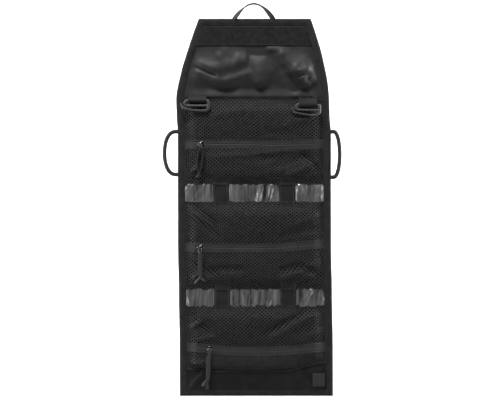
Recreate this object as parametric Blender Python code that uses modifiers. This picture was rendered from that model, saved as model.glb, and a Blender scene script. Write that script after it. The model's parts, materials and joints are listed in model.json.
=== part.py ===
"""Hanging toiletry bag: a roll of three mesh pocket panels under a tapered flap.

Metres, +Z up. The bag hangs open and straight down. Its pockets face -Y, and +X is to their right.
The origin is the point that carries the bag: the underside of the top handle, at its apex.
Depths are measured down from the top edge of the flap.
"""

import math

import bmesh
import bpy
from mathutils import Vector

# Height of each part of the bag, from the top edge down
TIP_HEIGHT = 0.046
SPINE_HEIGHT = 0.070
PANEL_1_HEIGHT = 0.157
PANEL_2_HEIGHT = 0.147
PANEL_3_HEIGHT = 0.1486
STRIP_HEIGHT = 0.024

# Widths
BAG_WIDTH = 0.250
FLAP_TOP_WIDTH = 0.183
FLAP_CURVE_POWER = 1.45

# Cloth layers, one behind the other
SHELL_THICKNESS = 0.0007
LINING_THICKNESS = 0.0006
NET_THICKNESS = 0.0006
BINDING_THICKNESS = 0.0006
BINDING_WIDTH = 0.011
BAND_THICKNESS = 0.0006
CLEARANCE = 0.0003
CREASE_CLEARANCE = 0.00015

# Pockets and zips
POCKET_TOP_INSET = 0.015
POCKET_3_HEIGHT = 0.109
POCKET_DEPTH = 0.005
POCKET_BULGE = 0.0026
POCKET_RISE = 0.35
POCKET_SIDE_SLOPE = 0.018
ZIP_WIDTH = 0.016
ZIP_TAPE_THICKNESS = 0.0008
COIL_WIDTH = 0.004
COIL_THICKNESS = 0.0010
ZIP_1_DROP = 0.0895
ZIP_2_DROP = 0.077
ZIP_3_DROP = 0.071

# Zip sliders and their pulls
SLIDER_LENGTH = 0.011
SLIDER_WIDTH = 0.0085
SLIDER_THICKNESS = 0.0022
SLIDER_END_INSETS = (0.037, 0.036, 0.051)
PULL_TAB_WIDTH = 0.005
PULL_TAB_LENGTH = 0.011
PULL_TAB_THICKNESS = 0.0012
PULL_TAB_HOLE = 0.0024
PULLER_WIDTH = 0.0085
PULLER_LENGTHS = (0.036, 0.037, 0.038)
PULLER_TAILS = (0.008, 0.013, 0.019)
PULLER_TAIL_SPREAD = 0.015
PULLER_THICKNESS = 0.0014

# Webbing
WEBBING_THICKNESS = 0.0012
STRAP_WIDTH = 0.025
STRAP_CENTRE = 0.054
TAB_WIDTH = 0.030
TAB_SEWN_TOP = 0.003
TAB_SEWN_BOTTOM = 0.0115
TAB_EDGE_INSETS = {"left": 0.031, "right": 0.038}
HOOK_BAR_DROPS = {"left": 0.018, "right": 0.025}

# Closure and label
TAPE_THICKNESS = 0.0014
PATCH_WIDTH = 0.160
PATCH_HEIGHT = 0.034
PATCH_DROP = 0.060
LABEL_WIDTH = 0.020
LABEL_HEIGHT = 0.022
LABEL_THICKNESS = 0.0005
LABEL_EDGE_INSET = 0.014

# Hooks
HOOK_BAR = 0.0035
HOOK_WIDTH = 0.050
HOOK_RING_HEIGHT = 0.0125
HOOK_SHIFT = 0.004
HOOK_MOUTH = 0.0060
HOOK_HORN = 0.0035
HOOK_STAND_OFF = 0.0104
HOOK_PLAY = 0.00035

# Side loops of cord
CORD_DIAMETER = 0.006
LOOP_TOP_DROP = 0.068
LOOP_HEIGHTS = {"left": 0.071, "right": 0.0755}
LOOP_REACHES = {"left": 0.026, "right": 0.0175}
LOOP_SQUARENESS = 0.6

# Top handle
HANDLE_RISE = 0.027
HANDLE_SPAN = 0.069
HANDLE_THICKNESS = 0.0016
HANDLE_WIDTH = 0.010
HANDLE_FOOT_TWIST = math.radians(40)
HANDLE_TWIST_END = math.radians(50)
HANDLE_FOOT_GAP = 0.0022

# Steps along curved shapes
EDGE_STEP = 0.012
NET_COLUMNS = 16
NET_ROWS = 6
ARC_STEPS = 6
LOOP_STEPS = 14
HANDLE_STEPS = 20
CORD_SIDES = 4
BAR_SIDES = 2

# Places that follow from the sizes above
HALF_WIDTH = BAG_WIDTH / 2
FLAP_CREASE = TIP_HEIGHT + SPINE_HEIGHT
FOLD_1_UPPER = FLAP_CREASE + PANEL_1_HEIGHT
FOLD_1_LOWER = FOLD_1_UPPER + STRIP_HEIGHT
FOLD_2_UPPER = FOLD_1_LOWER + PANEL_2_HEIGHT
FOLD_2_LOWER = FOLD_2_UPPER + STRIP_HEIGHT
BOTTOM_EDGE = FOLD_2_LOWER + PANEL_3_HEIGHT
POCKET_1_TOP = FLAP_CREASE + POCKET_TOP_INSET
TOP_EDGE_Z = HANDLE_THICKNESS - HANDLE_RISE

LINING_BACK = -CLEARANCE / 2
LINING_FRONT = LINING_BACK - LINING_THICKNESS
SHELL_FRONT = CLEARANCE / 2
SHELL_BACK = SHELL_FRONT + SHELL_THICKNESS
BINDING_FRONT = LINING_FRONT - CLEARANCE - BINDING_THICKNESS
BINDING_BACK = SHELL_BACK + CLEARANCE + BINDING_THICKNESS
SEWN_ON = LINING_FRONT - CLEARANCE
CREASE_GAP = max(-BINDING_FRONT, BINDING_BACK) + CREASE_CLEARANCE
SEAM_INSET = BINDING_WIDTH + CLEARANCE
EDGE_INSET = BINDING_THICKNESS + CLEARANCE
TAPE_BACK = SEWN_ON - POCKET_DEPTH
TAPE_FRONT = TAPE_BACK - ZIP_TAPE_THICKNESS
SLIDER_FRONT = TAPE_FRONT - CLEARANCE - SLIDER_THICKNESS
PULL_BACK = SLIDER_FRONT - CLEARANCE

bag = bpy.data.collections.new("hanging_toiletry_bag")
cutters = bpy.data.collections.new("cutters")


def clear_scene():
    for old in list(bpy.data.objects):
        bpy.data.objects.remove(old, do_unlink=True)
    bpy.context.scene.collection.children.link(bag)
    bpy.context.scene.collection.children.link(cutters)


def make_material(name, colour, roughness, metallic=0.0):
    material = bpy.data.materials.new(name)
    material.use_nodes = True
    shader = material.node_tree.nodes["Principled BSDF"]
    shader.inputs["Base Color"].default_value = (*colour, 1.0)
    shader.inputs["Roughness"].default_value = roughness
    shader.inputs["Metallic"].default_value = metallic
    return material


def add_object(name, bm, material, place=(0, 0, 0)):
    """A closed mesh, with its points moved so that its origin is at place."""
    bmesh.ops.recalc_face_normals(bm, faces=bm.faces)
    bmesh.ops.translate(bm, verts=bm.verts, vec=-Vector(place))
    mesh = bpy.data.meshes.new(name)
    bm.to_mesh(mesh)
    bm.free()
    mesh.materials.append(material)
    obj = bpy.data.objects.new(name, mesh)
    obj.location = place
    bag.objects.link(obj)
    return obj


def z_at(depth):
    return TOP_EDGE_Z - depth


def half_width_at(depth):
    """Half the bag's width: the flap narrows upwards in one smooth curve above the pockets."""
    rise = max(0.0, 1 - depth / POCKET_1_TOP)
    return HALF_WIDTH - (HALF_WIDTH - FLAP_TOP_WIDTH / 2) * rise**FLAP_CURVE_POWER


def edge_lean(depth):
    """How much longer a distance across the leaning edge is when it is measured along X."""
    rise = max(0.0, 1 - depth / POCKET_1_TOP)
    narrowing = (HALF_WIDTH - FLAP_TOP_WIDTH / 2) / POCKET_1_TOP
    slope = FLAP_CURVE_POWER * narrowing * rise ** (FLAP_CURVE_POWER - 1)
    return math.sqrt(1 + slope * slope)


def depths_between(top, bottom):
    """Stations down an edge: close together along the flap's curve, and one straight run below it."""
    curved_end = min(bottom, POCKET_1_TOP)
    if top >= curved_end:
        return [top, bottom]
    steps = max(1, round((curved_end - top) / EDGE_STEP))
    stations = [top + (curved_end - top) * i / steps for i in range(steps + 1)]
    return stations + [bottom] if bottom > curved_end else stations


def plate(name, top, bottom, inset, front, thickness, material):
    """A flat layer of cloth as wide as the bag less its inset on each side."""
    stations = depths_between(top, bottom)
    left = [(inset * edge_lean(depth) - half_width_at(depth), depth) for depth in stations]
    right = [(-x, depth) for x, depth in reversed(left)]
    return flat_piece(name, left + right, front, thickness, material)


def flat_piece(name, outline, front, thickness, material, place=(0, 0, 0)):
    """An outline of (x, depth) points, made as thick as the cloth behind its front face."""
    bm = bmesh.new()
    face = bm.faces.new([bm.verts.new((x, front, z_at(depth))) for x, depth in outline])
    made = bmesh.ops.extrude_face_region(bm, geom=[face])
    back = [v for v in made["geom"] if isinstance(v, bmesh.types.BMVert)]
    bmesh.ops.translate(bm, verts=back, vec=(0, thickness, 0))
    return add_object(name, bm, material, place)


def rectangle(left, right, top, bottom):
    return [(left, top), (left, bottom), (right, bottom), (right, top)]


def loft(name, rings, material, place=(0, 0, 0)):
    """Joins rings of points, each the section of one sweep, and closes both ends."""
    bm = bmesh.new()
    verts = [[bm.verts.new(point) for point in ring] for ring in rings]
    count = len(rings[0])
    for ring, after in zip(verts, verts[1:]):
        for i in range(count):
            j = (i + 1) % count
            bm.faces.new((ring[i], ring[j], after[j], after[i]))
    bm.faces.new(verts[0])
    bm.faces.new(verts[-1])
    return add_object(name, bm, material, place)


def binding(name, path, material):
    """Tape folded round an edge: a channel swept along (x, depth) points, with mitred corners.

    The path runs anticlockwise as seen from the front, so the bag is on its left.
    """
    section = [
        (0, BINDING_BACK),
        (BINDING_WIDTH, BINDING_BACK),
        (BINDING_WIDTH, BINDING_BACK - BINDING_THICKNESS),
        (BINDING_THICKNESS, BINDING_BACK - BINDING_THICKNESS),
        (BINDING_THICKNESS, BINDING_FRONT + BINDING_THICKNESS),
        (BINDING_WIDTH, BINDING_FRONT + BINDING_THICKNESS),
        (BINDING_WIDTH, BINDING_FRONT),
        (0, BINDING_FRONT),
    ]
    points = [Vector((x, z_at(depth))) for x, depth in path]
    runs = [(b - a).normalized() for a, b in zip(points, points[1:])]
    inward = [Vector((-run.y, run.x)) for run in runs]
    rings = []
    for i, point in enumerate(points):
        before, after = inward[max(i - 1, 0)], inward[min(i, len(inward) - 1)]
        mitre = (before + after) / (1 + before.dot(after))
        if i in (0, len(points) - 1):
            mitre = Vector((1 / mitre.x, 0))
        rings.append(
            [(point.x + mitre.x * w, y, point.y + mitre.y * w) for w, y in section]
        )
    return loft(name, rings, material)


def left_edge(top, bottom):
    return [(-half_width_at(depth), depth) for depth in depths_between(top, bottom)]


def right_edge(top, bottom):
    return [(-x, depth) for x, depth in reversed(left_edge(top, bottom))]


def smooth(value):
    value = min(max(value, 0.0), 1.0)
    return value * value * (3 - 2 * value)


def side_rise(x):
    """How far the pocket stands off near its sides, from 0 at the seam to 1 inside the slope."""
    return smooth((HALF_WIDTH - SEAM_INSET - abs(x)) / POCKET_SIDE_SLOPE)


def standing_sheet(name, top, bottom, thickness, stand_off, rows, material):
    """Cloth that stands off the lining by stand_off(x, share of the way down)."""
    half = HALF_WIDTH - SEAM_INSET
    bm = bmesh.new()
    bmesh.ops.create_grid(bm, x_segments=NET_COLUMNS, y_segments=rows, size=1)
    for vert in bm.verts:
        # columns lie closer together where the sides slope
        side = math.copysign(smooth_share(abs(vert.co.x)), vert.co.x)
        share = (1 - vert.co.y) / 2
        x = side * half
        y = SEWN_ON - thickness - stand_off(x, share)
        vert.co = (x, y, z_at(top + (bottom - top) * share))
    mesh = bpy.data.meshes.new(name)
    bm.to_mesh(mesh)
    bm.free()
    mesh.materials.append(material)
    mesh.shade_smooth()
    obj = bpy.data.objects.new(name, mesh)
    bag.objects.link(obj)
    wall = obj.modifiers.new("cloth", "SOLIDIFY")
    wall.thickness = thickness
    wall.offset = -1
    return obj


def smooth_share(share):
    return math.sin(share * math.pi / 2)


def flat_end():
    """The outermost column of the cloth that is still on the flat of a pocket."""
    half = HALF_WIDTH - SEAM_INSET
    columns = [half * smooth_share(2 * i / NET_COLUMNS) for i in range(NET_COLUMNS // 2 + 1)]
    return max(x for x in columns if x <= half - POCKET_SIDE_SLOPE)


def net_bulge(x):
    return POCKET_BULGE * math.cos(math.pi * x / (2 * HALF_WIDTH)) ** 2


def pocket(number, top, bottom, zip_depth, slider_x, cloths):
    """A net pocket split by a zip: net above, net below, the zip between them and its slider."""

    def above(x, share):
        rise = POCKET_DEPTH * smooth(share / POCKET_RISE) * side_rise(x)
        return rise + net_bulge(x) * math.sin(math.pi * share) * side_rise(x)

    def below(x, share):
        return above(x, 1 - share)

    def level(x, share):
        return POCKET_DEPTH * side_rise(x)

    zip_top, zip_bottom = zip_depth - ZIP_WIDTH / 2, zip_depth + ZIP_WIDTH / 2
    upper, lower = f"net_{number}_upper", f"net_{number}_lower"
    standing_sheet(
        upper, top, zip_top - CLEARANCE, NET_THICKNESS, above, NET_ROWS, cloths["net"]
    )
    standing_sheet(
        lower, zip_bottom + CLEARANCE, bottom, NET_THICKNESS, below, NET_ROWS, cloths["net"]
    )
    standing_sheet(
        f"zip_{number}_tape", zip_top, zip_bottom, ZIP_TAPE_THICKNESS, level, 1, cloths["zip"]
    )
    coil_end = flat_end()
    coil = rectangle(
        -coil_end, coil_end, zip_depth - COIL_WIDTH / 2, zip_depth + COIL_WIDTH / 2
    )
    flat_piece(
        f"zip_{number}_coil", coil, TAPE_BACK + CLEARANCE, COIL_THICKNESS, cloths["coil"]
    )
    slider(number, slider_x, zip_depth, cloths)


def slider(number, x, depth, cloths):
    """A zip slider, the metal pull on it, and the ribbon tied to the pull."""
    bm = bmesh.new()
    bmesh.ops.create_cube(bm, size=1)
    bmesh.ops.scale(bm, verts=bm.verts, vec=(SLIDER_LENGTH, SLIDER_THICKNESS, SLIDER_WIDTH))
    centre = (x, SLIDER_FRONT + SLIDER_THICKNESS / 2, z_at(depth))
    bmesh.ops.translate(bm, verts=bm.verts, vec=centre)
    body = add_object(f"zip_{number}_slider", bm, cloths["metal"], centre)
    rounding = body.modifiers.new("rounding", "BEVEL")
    rounding.width = SLIDER_THICKNESS / 4
    rounding.segments = 2

    pivot = (x, PULL_BACK - PULL_TAB_THICKNESS / 2, z_at(depth))
    half, hole = PULL_TAB_WIDTH / 2, PULL_TAB_HOLE / 2
    eye = depth + PULL_TAB_LENGTH - half
    tab = flat_piece(
        f"zip_{number}_pull",
        rectangle(x - half, x + half, depth - half, depth + PULL_TAB_LENGTH),
        PULL_BACK - PULL_TAB_THICKNESS,
        PULL_TAB_THICKNESS,
        cloths["metal"],
        pivot,
    )
    punch = flat_piece(
        f"zip_{number}_pull_eye",
        rectangle(x - hole, x + hole, eye - hole, eye + hole),
        PULL_BACK - 2 * PULL_TAB_THICKNESS,
        3 * PULL_TAB_THICKNESS,
        cloths["metal"],
        pivot,
    )
    cut(tab, punch)

    start = depth + PULL_TAB_LENGTH + CLEARANCE
    knot = start + PULLER_LENGTHS[number - 1]
    end, leg, tail = knot + PULLER_TAILS[number - 1], PULLER_WIDTH / 2, PULLER_TAIL_SPREAD / 2
    outline = [
        (x - leg, start),
        (x - leg, knot - leg),
        (x - leg / 2, knot),
        (x - tail, end),
        (x + tail, end),
        (x + leg / 2, knot),
        (x + leg, knot - leg),
        (x + leg, start),
    ]
    front = PULL_BACK - PULLER_THICKNESS
    flat_piece(f"puller_{number}", outline, front, PULLER_THICKNESS, cloths["cord"], pivot)


def cut(obj, cutter):
    for owner in list(cutter.users_collection):
        owner.objects.unlink(cutter)
    cutters.objects.link(cutter)
    cutter.hide_render = True
    cutter.display_type = "WIRE"
    hole = obj.modifiers.new("hole", "BOOLEAN")
    hole.operation = "DIFFERENCE"
    hole.object = cutter


def bar(name, points, radius, resolution, closed, material, place=(0, 0, 0)):
    """A round bar or cord along its points, with filled ends where it is open."""
    curve = bpy.data.curves.new(name, "CURVE")
    curve.dimensions = "3D"
    curve.bevel_depth = radius
    curve.bevel_resolution = resolution
    curve.render_resolution_u = 0
    curve.use_fill_caps = True
    spline = curve.splines.new("POLY")
    spline.points.add(len(points) - 1)
    for target, point in zip(spline.points, points):
        target.co = (*(Vector(point) - Vector(place)), 1)
    spline.use_cyclic_u = closed
    spline.use_smooth = True
    curve.materials.append(material)
    obj = bpy.data.objects.new(name, curve)
    obj.location = place
    bag.objects.link(obj)
    return obj


def as_mesh(obj):
    """The same piece as a mesh, so that it can be joined to another."""
    depsgraph = bpy.context.evaluated_depsgraph_get()
    mesh = bpy.data.meshes.new_from_object(obj.evaluated_get(depsgraph))
    bm = bmesh.new()
    bm.from_mesh(mesh)
    bmesh.ops.remove_doubles(bm, verts=bm.verts, dist=1e-6)
    bm.to_mesh(mesh)
    bm.free()
    name, place = obj.name, obj.matrix_world.copy()
    bpy.data.objects.remove(obj)
    made = bpy.data.objects.new(name, mesh)
    made.matrix_world = place
    bag.objects.link(made)
    return made


def arc(centre, radius, start, end, steps):
    """Points on an arc in the plane of a hook or a tab, as (across, up) pairs."""
    turns = [start + (end - start) * i / steps for i in range(steps + 1)]
    return [
        (centre[0] + radius * math.cos(t), centre[1] + radius * math.sin(t)) for t in turns
    ]


def hook(side, tab_x, bar_depth, material):
    """An open hook: a closed slot for its tab, and below it an arm that opens to the left."""
    half = HOOK_WIDTH / 2 - HOOK_BAR / 2
    x, z = tab_x - HOOK_SHIFT, z_at(bar_depth)
    ring_low = z - HOOK_RING_HEIGHT + HOOK_BAR
    corner = (z - ring_low) / 2
    middle = (z + ring_low) / 2
    left = arc((x - half + corner, middle), corner, math.pi / 2, 3 * math.pi / 2, ARC_STEPS)
    right = arc((x + half - corner, middle), corner, -math.pi / 2, math.pi / 2, ARC_STEPS)
    ring = [(across, -HOOK_STAND_OFF, up) for across, up in left + right]

    arm_low = ring_low - HOOK_MOUTH - HOOK_BAR
    bend = (ring_low - arm_low) / 2
    turn = arc((x + half - bend, arm_low + bend), bend, math.pi / 2, -math.pi / 2, ARC_STEPS)
    end = x - half + HOOK_HORN
    arm_points = turn + [(end, arm_low), (x - half, arm_low + HOOK_HORN)]
    arm = [(across, -HOOK_STAND_OFF, up) for across, up in arm_points]

    pivot = (x, -HOOK_STAND_OFF, z)
    name = f"hook_{side}"
    whole = as_mesh(bar(name, ring, HOOK_BAR / 2, BAR_SIDES, True, material, pivot))
    lower = as_mesh(bar(f"{name}_arm", arm, HOOK_BAR / 2, BAR_SIDES, False, material, pivot))
    bag.objects.unlink(lower)
    cutters.objects.link(lower)
    lower.hide_render = True
    lower.display_type = "WIRE"
    joint = whole.modifiers.new("arm", "BOOLEAN")
    joint.operation = "UNION"
    joint.object = lower


def touching_angle(centre, radius, point, side):
    """Where a straight run from a point first touches a circle, as an angle on that circle."""
    towards = point - centre
    return math.atan2(towards.y, towards.x) + side * math.acos(radius / towards.length)


def tab(side, x, bar_depth, material):
    """A short strap sewn to the panel, folded round the top bar of its hook."""
    fold = HOOK_BAR / 2 + HOOK_PLAY + WEBBING_THICKNESS / 2
    z = z_at(bar_depth)
    sewn_back = SEWN_ON - WEBBING_THICKNESS / 2 - CLEARANCE / 3
    sewn_front = sewn_back - WEBBING_THICKNESS - CLEARANCE
    top, bottom = z_at(FLAP_CREASE + TAB_SEWN_TOP), z_at(FLAP_CREASE + TAB_SEWN_BOTTOM)
    bar_centre = Vector((-HOOK_STAND_OFF, z))
    start = touching_angle(bar_centre, fold, Vector((sewn_back, bottom)), -1)
    end = touching_angle(bar_centre, fold, Vector((sewn_front, bottom)), 1) - 2 * math.pi
    round_bar = arc(bar_centre, fold, start, end, 2 * ARC_STEPS)
    path = [(sewn_back, top), (sewn_back, bottom), *round_bar]
    path += [(sewn_front, bottom), (sewn_front, top)]
    bm = bmesh.new()
    chain = [bm.verts.new((x - TAB_WIDTH / 2, y, up)) for y, up in path]
    edges = [bm.edges.new(pair) for pair in zip(chain, chain[1:])]
    made = bmesh.ops.extrude_edge_only(bm, edges=edges)
    moved = [v for v in made["geom"] if isinstance(v, bmesh.types.BMVert)]
    bmesh.ops.translate(bm, verts=moved, vec=(TAB_WIDTH, 0, 0))
    obj = add_object(f"tab_{side}", bm, material)
    wall = obj.modifiers.new("webbing", "SOLIDIFY")
    wall.thickness = WEBBING_THICKNESS
    wall.offset = 0
    wall.use_even_offset = True


def side_loop(side, direction, material):
    """A loop of round cord whose ends meet the side of the upper panel."""
    radius = CORD_DIAMETER / 2
    start = HALF_WIDTH + radius + 1.4 * CLEARANCE
    reach = LOOP_REACHES[side] - radius - (start - HALF_WIDTH)
    height = LOOP_HEIGHTS[side]
    middle = FLAP_CREASE + LOOP_TOP_DROP + height / 2
    turns = [math.pi * i / LOOP_STEPS for i in range(LOOP_STEPS + 1)]
    points = [
        (
            direction * (start + reach * max(math.sin(t), 0.0) ** LOOP_SQUARENESS),
            0,
            z_at(middle - height / 2 * math.cos(t)),
        )
        for t in turns
    ]
    place = (direction * start, 0, z_at(middle))
    bar(f"side_loop_{side}", points, radius, CORD_SIDES, False, material, place)


def top_handle(material):
    """A webbing handle that twists from its sewn feet until it lies across the hand at its apex."""
    rise = HANDLE_RISE - HANDLE_THICKNESS / 2 - HANDLE_FOOT_GAP
    span = HANDLE_SPAN / 2
    rings = []
    for i in range(HANDLE_STEPS + 1):
        turn = math.pi * i / HANDLE_STEPS
        centre = Vector(
            (span * math.cos(turn), 0, TOP_EDGE_Z + HANDLE_FOOT_GAP + rise * math.sin(turn))
        )
        along = Vector((-span * math.sin(turn), 0, rise * math.cos(turn))).normalized()
        from_foot = min(turn, math.pi - turn)
        twist = HANDLE_FOOT_TWIST * (1 - smooth(from_foot / HANDLE_TWIST_END))
        outward = along.cross(Vector((0, 1, 0)))
        sign = 1 if turn < math.pi / 2 else -1
        wide = Vector((0, 1, 0)) * math.cos(twist) + outward * math.sin(twist) * sign
        thick = along.cross(wide)
        corners = ((1, 1), (1, -1), (-1, -1), (-1, 1))
        rings.append(
            [
                centre + wide * a * HANDLE_WIDTH / 2 + thick * b * HANDLE_THICKNESS / 2
                for a, b in corners
            ]
        )
    loft("top_handle", rings, material)


def flap(cloths):
    """The tapered flap: a tip with the closure tape on it, and a spine that goes over the roll."""
    tip_end = TIP_HEIGHT - CREASE_GAP
    body = SHELL_BACK - LINING_FRONT
    plate("flap_tip_shell", EDGE_INSET, tip_end, EDGE_INSET, LINING_FRONT, body, cloths["nylon"])
    tape_front = SEWN_ON - TAPE_THICKNESS
    plate(
        "closure_tape",
        SEAM_INSET,
        tip_end,
        SEAM_INSET,
        tape_front,
        TAPE_THICKNESS,
        cloths["closure"],
    )
    edge = list(reversed(left_edge(0, tip_end)))
    right = [(-x, depth) for x, depth in reversed(edge)]
    around = list(reversed(edge + right))
    binding("flap_tip_binding", around, cloths["binding"])

    top, bottom = TIP_HEIGHT + CREASE_GAP, FLAP_CREASE - CREASE_GAP
    layers("flap_spine", top, bottom, cloths["nylon"], cloths)
    side_bindings("flap_spine", top, bottom, cloths)


def layers(name, top, bottom, front_cloth, cloths):
    plate(
        f"{name}_shell", top, bottom, EDGE_INSET, SHELL_FRONT, SHELL_THICKNESS, cloths["nylon"]
    )
    plate(
        f"{name}_lining", top, bottom, EDGE_INSET, LINING_FRONT, LINING_THICKNESS, front_cloth
    )


def side_bindings(name, top, bottom, cloths):
    binding(f"{name}_binding_left", left_edge(top, bottom), cloths["binding"])
    binding(f"{name}_binding_right", right_edge(top, bottom), cloths["binding"])


def panel_1(cloths):
    top, bottom = FLAP_CREASE + CREASE_GAP, FOLD_1_UPPER - CREASE_GAP
    layers("panel_1", top, bottom, cloths["lining"], cloths)
    side_bindings("panel_1", top, bottom, cloths)
    slider_x = -HALF_WIDTH + SLIDER_END_INSETS[0]
    pocket(1, POCKET_1_TOP, bottom, FLAP_CREASE + ZIP_1_DROP, slider_x, cloths)
    for side, direction in (("left", -1), ("right", 1)):
        x = direction * (HALF_WIDTH - TAB_EDGE_INSETS[side])
        bar_depth = FLAP_CREASE + HOOK_BAR_DROPS[side]
        tab(side, x, bar_depth, cloths["webbing"])
        hook(side, x, bar_depth, cloths["hook"])
        side_loop(side, direction, cloths["cord"])


def panel_2(cloths):
    top, bottom = FOLD_1_LOWER + CREASE_GAP, FOLD_2_UPPER - CREASE_GAP
    layers("panel_2", top, bottom, cloths["lining"], cloths)
    side_bindings("panel_2", top, bottom, cloths)
    slider_x = -HALF_WIDTH + SLIDER_END_INSETS[1]
    pocket(2, top, bottom, FOLD_1_LOWER + ZIP_2_DROP, slider_x, cloths)
    patch_top = FOLD_1_LOWER + PATCH_DROP
    patch = rectangle(-PATCH_WIDTH / 2, PATCH_WIDTH / 2, patch_top, patch_top + PATCH_HEIGHT)
    flat_piece(
        "closure_patch", patch, SHELL_BACK + CLEARANCE, TAPE_THICKNESS, cloths["closure"]
    )


def panel_3(cloths):
    top, bottom = FOLD_2_LOWER + CREASE_GAP, BOTTOM_EDGE - EDGE_INSET
    layers("panel_3", top, bottom, cloths["lining"], cloths)
    corners = [
        (-HALF_WIDTH, top),
        (-HALF_WIDTH, BOTTOM_EDGE),
        (HALF_WIDTH, BOTTOM_EDGE),
        (HALF_WIDTH, top),
    ]
    binding("panel_3_binding", corners, cloths["binding"])
    pocket_bottom = FOLD_2_LOWER + POCKET_3_HEIGHT
    slider_x = -HALF_WIDTH + SLIDER_END_INSETS[2]
    pocket(3, top, pocket_bottom, FOLD_2_LOWER + ZIP_3_DROP, slider_x, cloths)
    band_front = SEWN_ON - BAND_THICKNESS
    plate(
        "bottom_band",
        pocket_bottom + CLEARANCE,
        BOTTOM_EDGE - SEAM_INSET,
        SEAM_INSET,
        band_front,
        BAND_THICKNESS,
        cloths["nylon"],
    )
    right = HALF_WIDTH - LABEL_EDGE_INSET
    label_bottom = BOTTOM_EDGE - SEAM_INSET - CLEARANCE
    patch = rectangle(right - LABEL_WIDTH, right, label_bottom - LABEL_HEIGHT, label_bottom)
    front = band_front - CLEARANCE - LABEL_THICKNESS
    flat_piece("blank_label", patch, front, LABEL_THICKNESS, cloths["label"])


def strip(number, upper_fold, lower_fold, cloths):
    """The plain cloth between two panels, with a fold along each of its edges and two straps."""
    top, bottom = upper_fold + CREASE_GAP, lower_fold - CREASE_GAP
    body = SHELL_BACK - LINING_FRONT
    plate(f"strip_{number}_cloth", top, bottom, EDGE_INSET, LINING_FRONT, body, cloths["lining"])
    side_bindings(f"strip_{number}", top, bottom, cloths)
    for side, direction in (("left", -1), ("right", 1)):
        centre = direction * STRAP_CENTRE
        outline = rectangle(centre - STRAP_WIDTH / 2, centre + STRAP_WIDTH / 2, top, bottom)
        flat_piece(
            f"strip_{number}_strap_{side}",
            outline,
            SEWN_ON - WEBBING_THICKNESS,
            WEBBING_THICKNESS,
            cloths["webbing"],
        )


def main():
    clear_scene()
    cloths = {
        "nylon": make_material("flap_nylon", (0.045, 0.045, 0.048), 0.75),
        "lining": make_material("coated_lining", (0.060, 0.060, 0.062), 0.35),
        "net": make_material("pocket_net", (0.020, 0.020, 0.021), 0.85),
        "binding": make_material("edge_binding", (0.028, 0.028, 0.030), 0.80),
        "webbing": make_material("strap_webbing", (0.022, 0.022, 0.023), 0.80),
        "closure": make_material("closure_pile", (0.018, 0.018, 0.019), 0.95),
        "zip": make_material("zip_cloth", (0.040, 0.040, 0.042), 0.60),
        "coil": make_material("zip_teeth", (0.030, 0.030, 0.032), 0.50),
        "cord": make_material("braided_cord", (0.020, 0.020, 0.021), 0.75),
        "hook": make_material("hook_grey", (0.075, 0.075, 0.078), 0.45),
        "metal": make_material("slider_metal", (0.200, 0.200, 0.210), 0.30, 0.9),
        "label": make_material("woven_label", (0.035, 0.035, 0.036), 0.70),
    }
    top_handle(cloths["webbing"])
    flap(cloths)
    panel_1(cloths)
    strip(1, FOLD_1_UPPER, FOLD_1_LOWER, cloths)
    panel_2(cloths)
    strip(2, FOLD_2_UPPER, FOLD_2_LOWER, cloths)
    panel_3(cloths)


main()
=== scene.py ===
import json
import math

import bmesh
import bpy
from mathutils import Matrix, Vector, noise


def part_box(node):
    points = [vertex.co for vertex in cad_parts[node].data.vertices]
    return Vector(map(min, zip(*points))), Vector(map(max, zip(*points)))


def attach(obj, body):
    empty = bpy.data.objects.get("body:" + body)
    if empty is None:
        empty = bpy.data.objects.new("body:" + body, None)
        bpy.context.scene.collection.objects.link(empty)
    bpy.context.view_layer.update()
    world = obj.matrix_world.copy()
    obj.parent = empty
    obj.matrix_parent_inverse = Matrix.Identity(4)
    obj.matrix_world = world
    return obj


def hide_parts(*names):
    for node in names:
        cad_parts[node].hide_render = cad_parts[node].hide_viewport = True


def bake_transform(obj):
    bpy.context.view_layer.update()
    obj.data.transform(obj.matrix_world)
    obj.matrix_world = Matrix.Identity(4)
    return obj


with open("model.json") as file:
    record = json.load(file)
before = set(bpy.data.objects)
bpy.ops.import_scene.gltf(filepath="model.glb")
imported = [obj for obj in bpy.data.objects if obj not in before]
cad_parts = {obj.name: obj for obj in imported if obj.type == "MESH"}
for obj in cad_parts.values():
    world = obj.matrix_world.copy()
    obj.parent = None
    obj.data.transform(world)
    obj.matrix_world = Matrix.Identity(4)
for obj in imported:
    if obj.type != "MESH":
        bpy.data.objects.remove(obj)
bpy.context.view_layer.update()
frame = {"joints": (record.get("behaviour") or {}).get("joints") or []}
print("frame loaded")

# where the bag is cut, creased and sewn, as depths below its top edge
jointAt = {joint["name"]: Vector(joint["pos_m"]) for joint in frame["joints"] if "pos_m" in joint}
topZ = jointAt["bag_swing"].z
crease = {name: topZ - pivot.z for name, pivot in jointAt.items()}
tipFold, flapFold = crease["flap_tip_fold"], crease["flap_fold"]
gapOne = (crease["fold_1_upper"], crease["fold_1_lower"])
gapTwo = (crease["fold_2_upper"], crease["fold_2_lower"])
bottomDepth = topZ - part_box("panel_3_binding")[0].z
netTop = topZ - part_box("net_1_upper")[1].z


def middleOf(node):
    low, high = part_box(node)
    return (low + high) / 2


zipDepth = {n: topZ - middleOf(f"zip_{n}_tape").z for n in (1, 2, 3)}
pocketEnds = {
    1: (netTop, gapOne[0] - 0.0012),
    2: (gapOne[1] + 0.0012, gapTwo[0] - 0.0002),
    3: (gapTwo[1] - 0.0002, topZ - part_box("net_3_lower")[0].z),
}

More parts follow.
